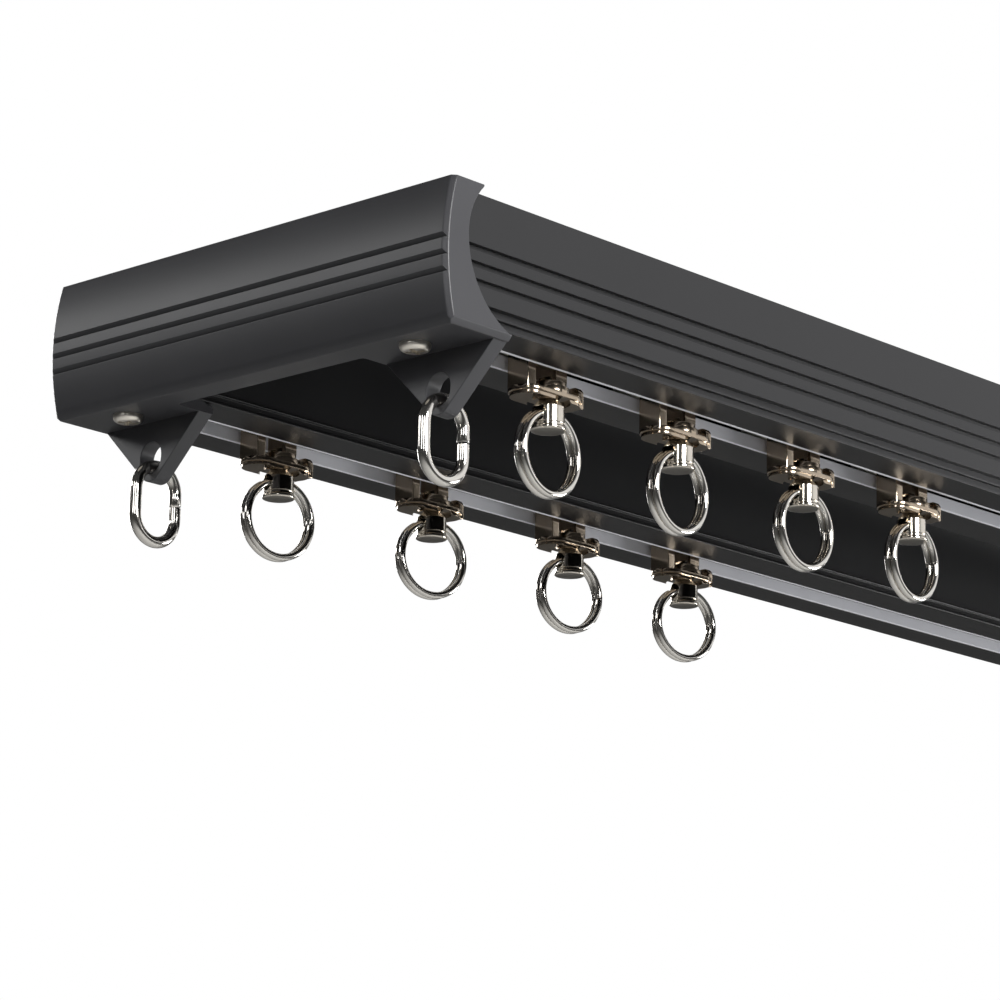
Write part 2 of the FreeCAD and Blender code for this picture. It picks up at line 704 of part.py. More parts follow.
def swivel_eye(x, y, turn):
    """A turned stud: peened head, spigot, shoulder, drilled barrel and end flange."""
    top = FOOT_BOTTOM - EYE_PLAY
    end = FOOT_BOTTOM - EYE_DROP
    head = BOSS_TOP + EYE_PLAY
    barrel = EYE_DIA / 2
    flange = EYE_FLANGE_DIA / 2
    line = end + EYE_FLANGE + EYE_LINE_ABOVE
    fine = EYE_LINE / 2
    eye = turned(
        [
            (0.0, end),
            (flange, end, EYE_FLANGE_R),
            (flange, end + EYE_FLANGE, EYE_FLANGE_R),
            (barrel, end + EYE_FLANGE),
            (barrel, line - fine),
            (barrel - fine, line),
            (barrel, line + fine),
            (barrel, top - EYE_SHOULDER),
            (EYE_NECK_DIA / 2, top),
            (SPIGOT_DIA / 2, top),
            (SPIGOT_DIA / 2, head),
            (HEAD_DIA / 2, head),
            (HEAD_DIA / 2, head + HEAD_HIGH / 2),
            (SPIGOT_DIA / 2, head + HEAD_HIGH),
            (0.0, head + HEAD_HIGH),
        ],
        x,
        y,
    )
    hole = EYE_HOLE_DIA / 2
    cut = rod(hole, (x - flange, y, EYE_HOLE_LEVEL), (x + flange, y, EYE_HOLE_LEVEL))
    eye = eye.cut(cut)
    for side in (-1, 1):
        mouth = Part.makeCone(
            hole,
            hole + 2 * EYE_MOUTH,
            2 * EYE_MOUTH,
            FreeCAD.Vector(x + side * (barrel - EYE_MOUTH), y, EYE_HOLE_LEVEL),
            ALONG * side,
        )
        eye = eye.cut(mouth)
    eye.rotate(FreeCAD.Vector(x, y, 0), UP, turn)
    return eye


def ring_point(x, y, angle, side):
    """A point on the wire's middle line, angle in degrees from +X towards +Z."""
    a = math.radians(angle)
    return FreeCAD.Vector(x + RING_RADIUS * math.cos(a), y + side, RING_LEVEL + RING_RADIUS * math.sin(a))


def ring_section(x, y, angle, side):
    """The wire's round section at an angle."""
    return Part.Wire([Part.Circle(ring_point(x, y, angle, side), tangent(angle), RING_WIRE / 2).toShape()])


def ring_turn(x, y, start, sweep, side):
    """A stretch of one turn of the wire."""
    disc = Part.Face(ring_section(x, y, start, side))
    return disc.revolve(FreeCAD.Vector(x, y, RING_LEVEL), -ACROSS, sweep)


def ring_crossing(x, y, start):
    """The step that leads the wire from one turn to the other."""
    end = start + RING_CROSSING
    lead = RING_RADIUS * 4 / 3 * math.tan(math.radians(RING_CROSSING) / 4)
    first = ring_point(x, y, start, RING_SIDE)
    last = ring_point(x, y, end, -RING_SIDE)
    curve = Part.BezierCurve()
    curve.setPoles([first, first + tangent(start) * lead, last - tangent(end) * lead, last])
    path = Part.Wire([curve.toShape()])
    return path.makePipeShell([ring_section(x, y, start, RING_SIDE)], True, True)


def tangent(angle):
    """The direction of a turn at an angle."""
    a = math.radians(angle)
    return FreeCAD.Vector(-math.sin(a), 0, math.cos(a))


def split_ring(x, y, turn):
    """A ring of round wire with two turns side by side, threaded through the eye."""
    start = RING_END_AT
    first = 360.0 - RING_CROSSING
    second = first - RING_OPEN
    ring = ring_turn(x, y, start, first, RING_SIDE).fuse([
        ring_crossing(x, y, start + first),
        ring_turn(x, y, start, second, -RING_SIDE),
    ])
    ring.rotate(FreeCAD.Vector(x, y, 0), UP, turn)
    return ring


def gliders():
    """All gliders as a dictionary of named pieces."""
    found = {}
    for lane_name, lane, places in (("front", -1, FRONT_GLIDERS), ("rear", 1, REAR_GLIDERS)):
        y = lane * LANE_OFFSET
        for number, (from_end, turn) in enumerate(places, 1):
            x = END_FACE + from_end
            name = f"{lane_name}_{number}"
            found[f"{name}_carriage"] = carriage(x, y)
            for letter, axle_x in zip("ab", axle_places(x)):
                found[f"{name}_wheels_{letter}"] = wheel_pair(axle_x, y)
            found[f"{name}_eye"] = swivel_eye(x, y, turn)
            found[f"{name}_ring"] = split_ring(x, y, turn)
    return found


def fixed_parts():
    """The rail, liners, caps, screws, nuts and links as a dictionary of named pieces."""
    cap = end_cap()
    places = screw_places(-1) + screw_places(1)
    found = {
        "track_rail": track_rail(),
        "liner_front_outer": liner(-1, 1),
        "liner_front_inner": liner(-1, -1),
        "liner_rear_inner": liner(1, -1),
        "liner_rear_outer": liner(1, 1),
        "end_cap_left": cap,
        "end_cap_right": mirrored_x(cap),
        "cap_screws": Part.makeCompound([cap_screw(x, y) for x, y in places]),
        "clamp_nuts": Part.makeCompound([clamp_nut(x, y) for x, y in places]),
    }
    for lane_name, lane in (("front", -1), ("rear", 1)):
        piece = link(lane)
        found[f"link_left_{lane_name}"] = piece
        found[f"link_right_{lane_name}"] = mirrored_x(piece)
    return found


def export(pieces):
    """Writes each piece to its own STEP file."""
    os.makedirs("parts", exist_ok=True)
    for name, shape in pieces.items():
        shape.exportStep(f"parts/{name}.step")


export({**fixed_parts(), **gliders()})
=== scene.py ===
"""Two-lane ceiling curtain track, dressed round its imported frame.

The rail hangs below z = 0 with +X along the track. Every size is in millimetres in the classes below and
is turned to metres where a mesh is made.
"""
import json
import logging
import math
from contextlib import contextmanager
from dataclasses import dataclass
from enum import Enum
from typing import Any, Callable, Iterable, Iterator, Sequence

import bmesh
import bpy
from mathutils import Matrix, Vector


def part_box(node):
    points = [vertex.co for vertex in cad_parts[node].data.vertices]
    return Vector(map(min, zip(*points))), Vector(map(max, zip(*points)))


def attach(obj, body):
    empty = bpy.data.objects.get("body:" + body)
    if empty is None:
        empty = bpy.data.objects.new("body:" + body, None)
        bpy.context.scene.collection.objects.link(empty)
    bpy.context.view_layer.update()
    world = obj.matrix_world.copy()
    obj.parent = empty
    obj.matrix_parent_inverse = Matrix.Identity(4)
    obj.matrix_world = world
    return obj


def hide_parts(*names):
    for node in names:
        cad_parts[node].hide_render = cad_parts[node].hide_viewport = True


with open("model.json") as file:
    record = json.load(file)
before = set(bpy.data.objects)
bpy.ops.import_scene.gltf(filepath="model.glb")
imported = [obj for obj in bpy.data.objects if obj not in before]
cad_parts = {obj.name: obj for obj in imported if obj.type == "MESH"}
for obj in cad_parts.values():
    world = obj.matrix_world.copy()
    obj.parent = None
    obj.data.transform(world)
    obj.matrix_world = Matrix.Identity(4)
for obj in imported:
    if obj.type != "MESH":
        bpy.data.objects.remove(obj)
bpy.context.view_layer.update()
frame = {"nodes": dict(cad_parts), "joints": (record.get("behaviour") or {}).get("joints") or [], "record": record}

log = logging.getLogger("curtain_track")

MM = 0.001
FULL_TURN = 2.0 * math.pi
MERGE_WITHIN = 0.0005 * MM
CLOUD_DETAIL = 3.0
GRAIN_DETAIL = 2.0

# Sizes that several pieces share, in millimetres
LANE_OFFSET = 37.0
LIP_BOTTOM = -22.9
CAP_BOTTOM = -24.8
CAP_BULGE = 1.72
SCREW_FROM_END = 6.0

Point = tuple[float, float]


class Axis(Enum):
    """The three directions of the track."""

    ALONG = (1.0, 0.0, 0.0)
    ACROSS = (0.0, 1.0, 0.0)
    UP = (0.0, 0.0, 1.0)

    @property
    def vector(self) -> Vector:
        """The direction as a vector."""
        return Vector(self.value)

    def place(self, others: Point, along: float) -> Vector:
        """The place at a distance along this direction, with its other two coordinates in their order."""
        spot = list(others)
        spot.insert(self.value.index(1.0), along)
        return Vector(spot)


class Labelled(Enum):
    """A choice whose name is part of the frame's node names."""

    @property
    def label(self) -> str:
        """The name as it stands in a node's name."""
        return self.name.lower()


class Lane(Labelled):
    """The two channels of the rail, by the side of the middle that they lie on."""

    FRONT = -1
    REAR = 1

    @property
    def middle(self) -> float:
        """The lane's middle line, in millimetres across the track."""
        return self.value * LANE_OFFSET


class End(Labelled):
    """The two ends of the rail."""

    LEFT = -1
    RIGHT = 1


# Colour and material helpers


def linear(hex_colour: str) -> tuple[float, float, float, float]:
    """Turns an sRGB hex colour into the linear colour that a shader takes.

    Args:
        hex_colour: six hex digits after a hash sign.

    Returns:
        Red, green, blue and an alpha of one.
    """
    parts = [int(hex_colour[i : i + 2], 16) / 255.0 for i in (1, 3, 5)]
    values = [c / 12.92 if c <= 0.04045 else ((c + 0.055) / 1.055) ** 2.4 for c in parts]
    return values[0], values[1], values[2], 1.0


def per_metre(size_mm: float) -> float:
    """The scale of a pattern whose features are size_mm apart, on coordinates in metres."""
    return 1.0 / (size_mm * MM)


def add_node(tree: Any, kind: str, settings: dict[str, Any], links: dict[str, Any]) -> Any:
    """Adds one shader node.

    Args:
        tree: the node tree.
        kind: the node's type.
        settings: attributes of the node, or values of its input sockets where no attribute has that name.
        links: input socket name or number to the output socket that feeds it.

    Returns:
        The new node.
    """
    node = tree.nodes.new(kind)
    for name, value in settings.items():
        if hasattr(node, name):
            setattr(node, name, value)
        else:
            node.inputs[name].default_value = value
    for name, source in links.items():
        tree.links.new(source, node.inputs[name])
    return node


@dataclass(frozen=True)
class Finish:
    """A surface finish: one Principled shader with a fine relief and a little uneven gloss.

    Attributes:
        name: the material's common name.
        low: sRGB hex colour where the pattern is low.
        high: sRGB hex colour where the pattern is high.
        metallic: zero or one.
        roughness: the least roughness.
        roughness_spread: how much the pattern adds to it.
        grain_mm: size of the fine relief.
        relief_mm: depth of the fine relief.
        cloud_mm: size of the slow change in colour and gloss.
        stretch: how much longer the relief is along the track than across it.
        ior: index of refraction.
    """

    name: str
    low: str
    high: str
    metallic: float
    roughness: float
    roughness_spread: float
    grain_mm: float
    relief_mm: float
    cloud_mm: float
    stretch: float = 1.0
    ior: float = 1.5

    def material(self) -> Any:
        """Builds the material.

        Returns:
            The Blender material.
        """
        made = bpy.data.materials.new(self.name)
        made.use_nodes = True
        tree = made.node_tree
        tree.nodes.clear()
        spot = add_node(tree, "ShaderNodeTexCoord", {}, {}).outputs["Object"]
        squeeze = {"Scale": (1.0 / self.stretch, 1.0, 1.0)}
        drawn = add_node(tree, "ShaderNodeMapping", squeeze, {"Vector": spot}).outputs["Vector"]
        slow = {"Scale": per_metre(self.cloud_mm), "Detail": CLOUD_DETAIL}
        cloud = add_node(tree, "ShaderNodeTexNoise", slow, {"Vector": spot}).outputs["Fac"]
        fine = {"Scale": per_metre(self.grain_mm), "Detail": GRAIN_DETAIL}
        grain = add_node(tree, "ShaderNodeTexNoise", fine, {"Vector": drawn}).outputs["Fac"]
        tone = add_node(tree, "ShaderNodeMix", {"data_type": "RGBA"}, {"Factor": cloud})
        colour_a, colour_b = [s for s in tone.inputs if s.type == "RGBA"]
        colour_a.default_value = linear(self.low)
        colour_b.default_value = linear(self.high)
        spread = {"To Min": self.roughness, "To Max": self.roughness + self.roughness_spread}
        gloss = add_node(tree, "ShaderNodeMapRange", spread, {"Value": cloud}).outputs["Result"]
        relief = {"Distance": self.relief_mm * MM, "Strength": 1.0}
        bump = add_node(tree, "ShaderNodeBump", relief, {"Height": grain}).outputs["Normal"]
        colour_out = next(s for s in tone.outputs if s.type == "RGBA")
        shader = add_node(
            tree,
            "ShaderNodeBsdfPrincipled",
            {"Metallic": self.metallic, "IOR": self.ior},
            {"Base Color": colour_out, "Roughness": gloss, "Normal": bump},
        ).outputs["BSDF"]
        add_node(tree, "ShaderNodeOutputMaterial", {}, {"Surface": shader})
        return made


# Powder-coated aluminium extrusion: satin black with a very fine even grain and soft wide highlights.
COATED_ALUMINIUM = Finish(
    "powder_coated_aluminium", low="#131315", high="#18181a", metallic=0.0, roughness=0.38,
    roughness_spread=0.04, grain_mm=0.35, relief_mm=0.002, cloud_mm=40.0, stretch=3.0, ior=1.44,
)
# Moulded ABS: black with a light spark-eroded texture that keeps the gloss low.
MOULDED_ABS = Finish(
    "moulded_abs", low="#363639", high="#3d3d40", metallic=0.0, roughness=0.36, roughness_spread=0.06,
    grain_mm=0.45, relief_mm=0.005, cloud_mm=25.0, stretch=1.0, ior=1.46,
)
# Extruded polypropylene: cool grey, soft sheen, drawn slightly streaky along its length.
EXTRUDED_POLYPROPYLENE = Finish(
    "extruded_polypropylene", low="#dcdde4", high="#e5e6ec", metallic=0.0, roughness=0.38,
    roughness_spread=0.08, grain_mm=0.5, relief_mm=0.004, cloud_mm=12.0, stretch=8.0,
)
# Bright nickel on spring wire: a clear mirror with a faint warm tint.
NICKEL_WIRE = Finish(
    "bright_nickel_wire", low="#d3cfc9", high="#dedbd6", metallic=1.0, roughness=0.08,
    roughness_spread=0.04, grain_mm=0.8, relief_mm=0.0008, cloud_mm=6.0,
)
# Nickel on a zinc die casting: softer edges, a little orange peel and a warmer tone. The warm tone is partly the
# plating's own and partly a painted warm reflection of the surroundings, tinted into both colours.
NICKEL_CASTING = Finish(
    "nickel_plated_zinc_casting", low="#a39482", high="#bcae9c", metallic=1.0, roughness=0.12,
    roughness_spread=0.08, grain_mm=1.1, relief_mm=0.006, cloud_mm=4.0,
)
# Nickel on turned brass: mirror-like with faint lathe marks.
NICKEL_TURNED = Finish(
    "nickel_plated_turned_brass", low="#cdc6bb", high="#d9d3c9", metallic=1.0, roughness=0.1,
    roughness_spread=0.05, grain_mm=0.5, relief_mm=0.0012, cloud_mm=5.0,
)
# Nickel on a rolled steel screw head: bright and slightly dulled by barrel plating.
NICKEL_SCREW = Finish(
    "nickel_plated_screw", low="#ece6dc", high="#f4eee4", metallic=1.0, roughness=0.28,
    roughness_spread=0.08, grain_mm=0.7, relief_mm=0.002, cloud_mm=4.0,
)
# Zinc on a pressed steel plate: dull and slightly mottled.
ZINC_PLATE = Finish(
    "zinc_plated_steel", low="#9b9b98", high="#b0b0ac", metallic=1.0, roughness=0.32,
    roughness_spread=0.12, grain_mm=0.9, relief_mm=0.004, cloud_mm=5.0,
)
# Acetal wheels: off-white, waxy and smooth.
ACETAL = Finish(
    "turned_acetal", low="#d9d7d0", high="#e3e1da", metallic=0.0, roughness=0.35, roughness_spread=0.08,
    grain_mm=0.6, relief_mm=0.002, cloud_mm=8.0,
)

SLOT_FINISHES: dict[str, Finish] = {
    "rail": COATED_ALUMINIUM,
    "liner": EXTRUDED_POLYPROPYLENE,
    "cap": MOULDED_ABS,
    "screw": NICKEL_SCREW,
    "nut": ZINC_PLATE,
    "link": NICKEL_WIRE,
    "carriage": NICKEL_CASTING,
    "wheel": ACETAL,
    "eye": NICKEL_TURNED,
    "ring": NICKEL_WIRE,
}


class Wardrobe:
    """Holds one material for each material slot and gives it to pieces."""

    def __init__(self) -> None:
        """Builds every finish once."""
        built = {finish.name: finish.material() for finish in SLOT_FINISHES.values()}
        self.materials = {slot: built[finish.name] for slot, finish in SLOT_FINISHES.items()}

    def dress(self, piece: Any, slot: str) -> None:
        """Gives a piece the material of a slot.

        Args:
            piece: the mesh object.
            slot: the record's material slot.
        """
        piece.data.materials.clear()
        piece.data.materials.append(self.materials[slot])

    def dress_frame(self) -> None:
        """Gives every node of the frame its slot's material."""
        for part in frame["record"]["subparts"]:
            self.dress(frame["nodes"][part["node"]], part["material_slot"])


# Modelling helpers


class Bench:
    """Edit-mode steps on one mesh object that is being modelled."""

    def __init__(self, name: str) -> None:
        """Opens the active object in edit mode.

        Args:
            name: the piece's name.
        """
        self.piece = bpy.context.active_object
        self.piece.name = name
        self.piece.data.name = name
        bpy.ops.object.mode_set(mode="EDIT")

    @classmethod
    def at_origin(cls, name: str) -> "Bench":
        """Starts a piece as a plane that is collapsed to one point at the origin.

        Args:
            name: the piece's name.

        Returns:
            The bench with the piece on it.
        """
        cls.rest()
        bpy.ops.mesh.primitive_plane_add(size=MM, location=(0, 0, 0))
        bench = cls(name)
        bpy.ops.mesh.select_mode(type="VERT")
        bpy.ops.mesh.select_all(action="SELECT")
        bpy.ops.mesh.merge(type="CENTER")
        return bench

    @staticmethod
    def rest() -> None:
        """Leaves edit mode and deselects everything."""
        if bpy.context.object and bpy.context.object.mode != "OBJECT":
            bpy.ops.object.mode_set(mode="OBJECT")
        bpy.ops.object.select_all(action="DESELECT")

    def move(self, step: Vector) -> None:
        """Moves what is selected."""
        bpy.ops.transform.translate(value=step)

    def draw(self, points: Sequence[Vector]) -> None:
        """Draws a line through points and selects all of it.

        Args:
            points: the corners in order, in metres.
        """
        self.move(points[0])
        for before, after in zip(points, points[1:]):
            bpy.ops.mesh.extrude_vertices_move(TRANSFORM_OT_translate={"value": after - before})
        bpy.ops.mesh.select_all(action="SELECT")

    def fill(self) -> None:
        """Closes the drawn line to a face."""
        bpy.ops.mesh.edge_face_add()
        bpy.ops.mesh.select_mode(type="FACE")

    def pull(self, step: Vector) -> None:
        """Extrudes what is selected and moves the new end."""
        bpy.ops.mesh.extrude_region_move(TRANSFORM_OT_translate={"value": step})

    def spin(self, angle: float, steps: int, centre: Vector, axis: Vector) -> None:
        """Sweeps what is selected round an axis."""
        bpy.ops.mesh.spin(steps=steps, dupli=False, angle=angle, center=centre, axis=axis)

    def done(self) -> Any:
        """Merges doubles, turns all faces outwards and leaves edit mode.

        Returns:
            The finished mesh object.
        """
        bpy.ops.mesh.select_all(action="SELECT")
        bpy.ops.mesh.remove_doubles(threshold=MERGE_WITHIN)
        bpy.ops.mesh.normals_make_consistent(inside=False)
        Bench.rest()
        return self.piece


def choose(*pieces: Any) -> None:
    """Selects pieces and nothing else, and makes the first one active."""
    Bench.rest()
    for piece in pieces:
        piece.select_set(True)
    bpy.context.view_layer.objects.active = pieces[0]


@contextmanager
def editing(piece: Any) -> Iterator[None]:
    """Opens a finished piece in edit mode with all of it selected, and closes it afterwards."""
    choose(piece)
    bpy.ops.object.mode_set(mode="EDIT")
    bpy.ops.mesh.select_all(action="SELECT")
    yield
    Bench.rest()


def arc(centre: Point, radius: float, start: float, end: float, steps: int) -> list[Point]:
    """Points along an arc.

    Args:
        centre: its centre.
        radius: its radius.
        start: its first angle in degrees.
        end: its last angle in degrees.
        steps: how many stretches it has.

    Returns:
        The points, ends included.
    """
    angles = [math.radians(start + (end - start) * i / steps) for i in range(steps + 1)]
    return [(centre[0] + radius * math.cos(a), centre[1] + radius * math.sin(a)) for a in angles]


def prism(name: str, points: Iterable[Point], axis: Axis, start: float, length: float) -> Any:
    """A solid with a constant outline.

    Args:
        name: the piece's name.
        points: the outline, by the two coordinates that the axis leaves, in millimetres.
        axis: the direction in which the outline is pulled.
        start: where on the axis it starts, in millimetres.
        length: how far it is pulled, in millimetres.

    Returns:
        The mesh object.
    """
    bench = Bench.at_origin(name)
    bench.draw([axis.place(p, start) * MM for p in points])
    bench.fill()
    bench.pull(axis.vector * length * MM)
    return bench.done()


def turned(name: str, points: Iterable[Point], steps: int = 64) -> Any:
    """A solid of revolution about the upright axis through the origin.

    Args:
        name: the piece's name.
        points: (radius, height) in millimetres, from the lower to the upper end of the axis.
        steps: how many stretches go round.

    Returns:
        The mesh object.
    """
    bench = Bench.at_origin(name)
    bench.draw([Vector((r, 0.0, z)) * MM for r, z in points])
    bench.spin(FULL_TURN, steps, Vector(), Axis.UP.vector)
    return bench.done()


def settled(name: str) -> Any:
    """Names the solid that was just added and puts its place, turn and size into its mesh.

    Args:
        name: the solid's name.

    Returns:
        The mesh object.
    """
    made = bpy.context.active_object
    made.name = name
    bpy.ops.object.transform_apply(location=True, rotation=True, scale=True)
    return made


def block(name: str, low: Vector, high: Vector) -> Any:
    """A box between two corners given in millimetres."""
    Bench.rest()
    bpy.ops.mesh.primitive_cube_add(size=1.0, location=(low + high) / 2 * MM, scale=(high - low) * MM)
    return settled(name)


def round_bar(name: str, radius: float, start: Vector, end: Vector, steps: int = 48) -> Any:
    """A cylinder between two points given in millimetres."""
    Bench.rest()
    run = end - start
    bpy.ops.mesh.primitive_cylinder_add(
        vertices=steps,
        radius=radius * MM,
        depth=run.length * MM,
        location=(start + end) / 2 * MM,
        rotation=run.to_track_quat("Z", "Y").to_euler(),
    )
    return settled(name)


def apply_modifier(piece: Any, kind: str, **settings: Any) -> None:
    """Adds one modifier with its settings and applies it.

    Args:
        piece: the mesh object.
        kind: the modifier's type.
        settings: its settings.
    """
    choose(piece)
    modifier = piece.modifiers.new(kind.lower(), kind)
    for name, value in settings.items():
        setattr(modifier, name, value)
    bpy.ops.object.modifier_apply(modifier=modifier.name)


def boolean(piece: Any, other: Any, operation: str) -> None:
    """Cuts or joins one solid with another, which is used up.

    Args:
        piece: the solid that stays.
        other: the solid that is used up.
        operation: "DIFFERENCE", "UNION" or "INTERSECT".
    """
    apply_modifier(piece, "BOOLEAN", object=other, operation=operation, solver="EXACT")
    bpy.data.objects.remove(other)


def round_edges(piece: Any, width_mm: float, segments: int = 2, angle: float = 35.0) -> None:
    """Rounds the edges that are sharper than an angle."""
    apply_modifier(
        piece,
        "BEVEL",
        width=width_mm * MM,
        segments=segments,
        limit_method="ANGLE",
        angle_limit=math.radians(angle),
        use_clamp_overlap=True,
    )


def smooth(piece: Any, angle: float = 32.0) -> None:
    """Shades a piece smooth except across sharp edges."""
    choose(piece)
    bpy.ops.object.shade_smooth_by_angle(angle=math.radians(angle))
    apply_modifier(piece, "WEIGHTED_NORMAL", keep_sharp=True)


def copied(master: Any, name: str, place: Matrix) -> Any:
    """A copy of a piece with its own mesh, moved to its place in the mesh.

    Args:
        master: the piece to copy.
        name: the copy's name.
        place: where the copy goes.

    Returns:
        The copy.
    """
    twin = master.copy()
    twin.data = master.data.copy()
    twin.name = name
    twin.data.name = name
    bpy.context.scene.collection.objects.link(twin)
    twin.data.transform(place)
    if place.determinant() < 0:
        with editing(twin):
            bpy.ops.mesh.normals_make_consistent(inside=False)
    return twin


@dataclass
class Fitter:
    """Puts finished pieces on the frame."""

    wardrobe: Wardrobe
    count: int = 0

    def fit(self, piece: Any, body: str, slot: str, *nodes: str) -> None:
        """Lets a piece ride on a body, take a slot's finish and stand for nodes of the frame.

        Args:
            piece: the mesh object.
            body: the body that it moves with.
            slot: the material slot.
            nodes: the nodes that it stands for.
        """
        self.wardrobe.dress(piece, slot)
        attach(piece, body)
        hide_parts(*nodes)
        self.count += 1
        log.info("%s rides on %s", piece.name, body)

    def fit_gliders(self, master: Any, part: str, title: str, place: Callable[[str], Matrix]) -> None:
        """Copies a master into every glider, fits the copies and drops the master.

        Args:
            master: the piece to copy.
            part: the glider's part that it stands for, which is its material slot too.
            title: what the copies are called after the glider's name.
            place: gives the place in a glider by the glider's name.
        """
        for name in glider_names():
            node = f"{name}_{part}"
            self.fit(copied(master, f"{name}_{title}", place(name)), node, part, node)
        bpy.data.objects.remove(master)


def glider_names() -> list[str]:
    """The gliders' names, from the frame's nodes."""
    ending = "_carriage"
    return sorted(name[: -len(ending)] for name in frame["nodes"] if name.endswith(ending))


def swivel_place(name: str, level: float) -> Matrix:
    """A place on a glider's swivel axis, turned as its eye is in the frame.

    Args:
        name: the glider's name.
        level: the height in metres.

    Returns:
        The place.
    """
    low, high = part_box(f"{name}_eye")
    middle = (low + high) / 2
    joint = next(j for j in frame["joints"] if j["name"] == f"{name}_ring_swing")
    turn = math.atan2(joint["axis"][1], joint["axis"][0])
    return Matrix.Translation(Vector((middle.x, middle.y, level))) @ Matrix.Rotation(turn, 4, "Z")


# Sub-assemblies


@dataclass
class Rail:
    """The extruded rail: two channels, a middle recess and a bracket groove on top."""

    fitter: Fitter
    half_width: float = 49.7
    height: float = -LIP_BOTTOM
    # Wall thicknesses, and how far out the middle recess ends
    top: float = 1.5
    side: float = 2.4
    inner_wall: float = 1.4
    lip: float = 1.8
    inner_face: float = 24.0
    # The set-back foot of a wall with its thin rib, by heights over the underside and ways in from the face
    waist_height: float = 3.5
    waist_deep: float = 1.3
    rib: float = 0.4
    rib_level: float = 1.75
    rib_in: float = 0.4
    foot_height: float = 0.5
    foot_in: float = 0.3
    foot_step: float = 0.6
    # Half the slot between the lips, and the three grooves in the fascia by their depths under the top
    metal_slot: float = 4.3
    groove_depths: tuple[float, ...] = (9.7, 12.7, 15.7)
    groove_width: float = 1.1
    groove_deep: float = 1.0
    # The bracket groove in the top
    bracket_mouth: float = 10.0
    bracket_width: float = 16.0
    bracket_lip: float = 1.4
    bracket_depth: float = 4.6
    bracket_wall: float = 1.4
    # The groove along each lip that takes a liner's rib
    rib_from_slot: float = 3.0
    rib_groove_width: float = 1.0
    rib_groove_deep: float = 0.65
    edge: float = 0.15

    def lip_points(self, side: int) -> list[Point]:
        """Points along the top of a lip from the slot outwards.

        Args:
            side: 1 for the outer lip, -1 for the inner one.

        Returns:
            The points.
        """
        top = self.lip - self.height
        near = LANE_OFFSET + side * self.metal_slot
        middle = near + side * self.rib_from_slot
        half = side * self.rib_groove_width / 2
        floor = top - self.rib_groove_deep
        groove = [(middle - half, top), (middle - half, floor), (middle + half, floor), (middle + half, top)]
        return [(near, top)] + groove

    def wall_foot(self, face: float, rib: float, foot: float) -> list[Point]:
        """Points down the foot of a wall, past its thin rib to the edge of the underside.

        Args:
            face: how far out the wall's face is.
            rib: how far out the rib ends.
            foot: how far out the foot ends.

        Returns:
            The points.
        """
        rib_low = self.rib_level - self.height
        foot_top = self.foot_height - self.height
        return [
            (face, rib_low + self.rib),
            (rib, rib_low + self.rib),
            (rib, rib_low),
            (face, rib_low),
            (face, foot_top),
            (foot, foot_top),
            (foot, -self.height),
        ]

    def half_outline(self) -> list[Point]:
        """The outline of the half on the +Y side, from the bracket groove's floor to its underside."""
        floor = -self.bracket_lip - self.bracket_depth
        wall = self.bracket_width / 2 + self.bracket_wall
        lip_top = self.lip - self.height
        waist_top = self.waist_height - self.height
        points = [
            (0.0, floor),
            (self.bracket_width / 2, floor),
            (self.bracket_width / 2, -self.bracket_lip),
            (self.bracket_mouth / 2, -self.bracket_lip),
            (self.bracket_mouth / 2, 0.0),
            (self.half_width, 0.0),
        ]
        for depth in self.groove_depths:
            low, high = -depth - self.groove_width / 2, -depth + self.groove_width / 2
            inside = self.half_width - self.groove_deep
            points += [(self.half_width, high), (inside, high), (inside, low), (self.half_width, low)]
        waist = self.half_width - self.waist_deep
        points += [(self.half_width, waist_top), (waist, waist_top)]
        points += self.wall_foot(waist, self.half_width - self.rib_in, self.half_width - self.foot_in)
        points.append((LANE_OFFSET + self.metal_slot, -self.height))
        points += self.lip_points(1)
        points += [
            (self.half_width - self.side, lip_top),
            (self.half_width - self.side, -self.top),
            (self.inner_face + self.inner_wall, -self.top),
            (self.inner_face + self.inner_wall, lip_top),
        ]
        points += reversed(self.lip_points(-1))
        points.append((LANE_OFFSET - self.metal_slot, -self.height))
        step = self.inner_face - self.foot_step
        points += reversed(self.wall_foot(self.inner_face, step, step))
        points += [
            (self.inner_face, -self.top),
            (wall, -self.top),
            (wall, floor - self.bracket_wall),
            (0.0, floor - self.bracket_wall),
        ]
        return points

    def build(self) -> None:
        """Models the rail and fits it."""
        low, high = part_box("track_rail")
        half = self.half_outline()
        other = [(-y, z) for y, z in reversed(half)]
        points = [(y, z) for y, z in half + other if y != 0.0]
        piece = prism("rail", points, Axis.ALONG, low.x / MM, (high.x - low.x) / MM)
        round_edges(piece, self.edge)
        smooth(piece)
        self.fitter.fit(piece, "track", "rail", "track_rail")


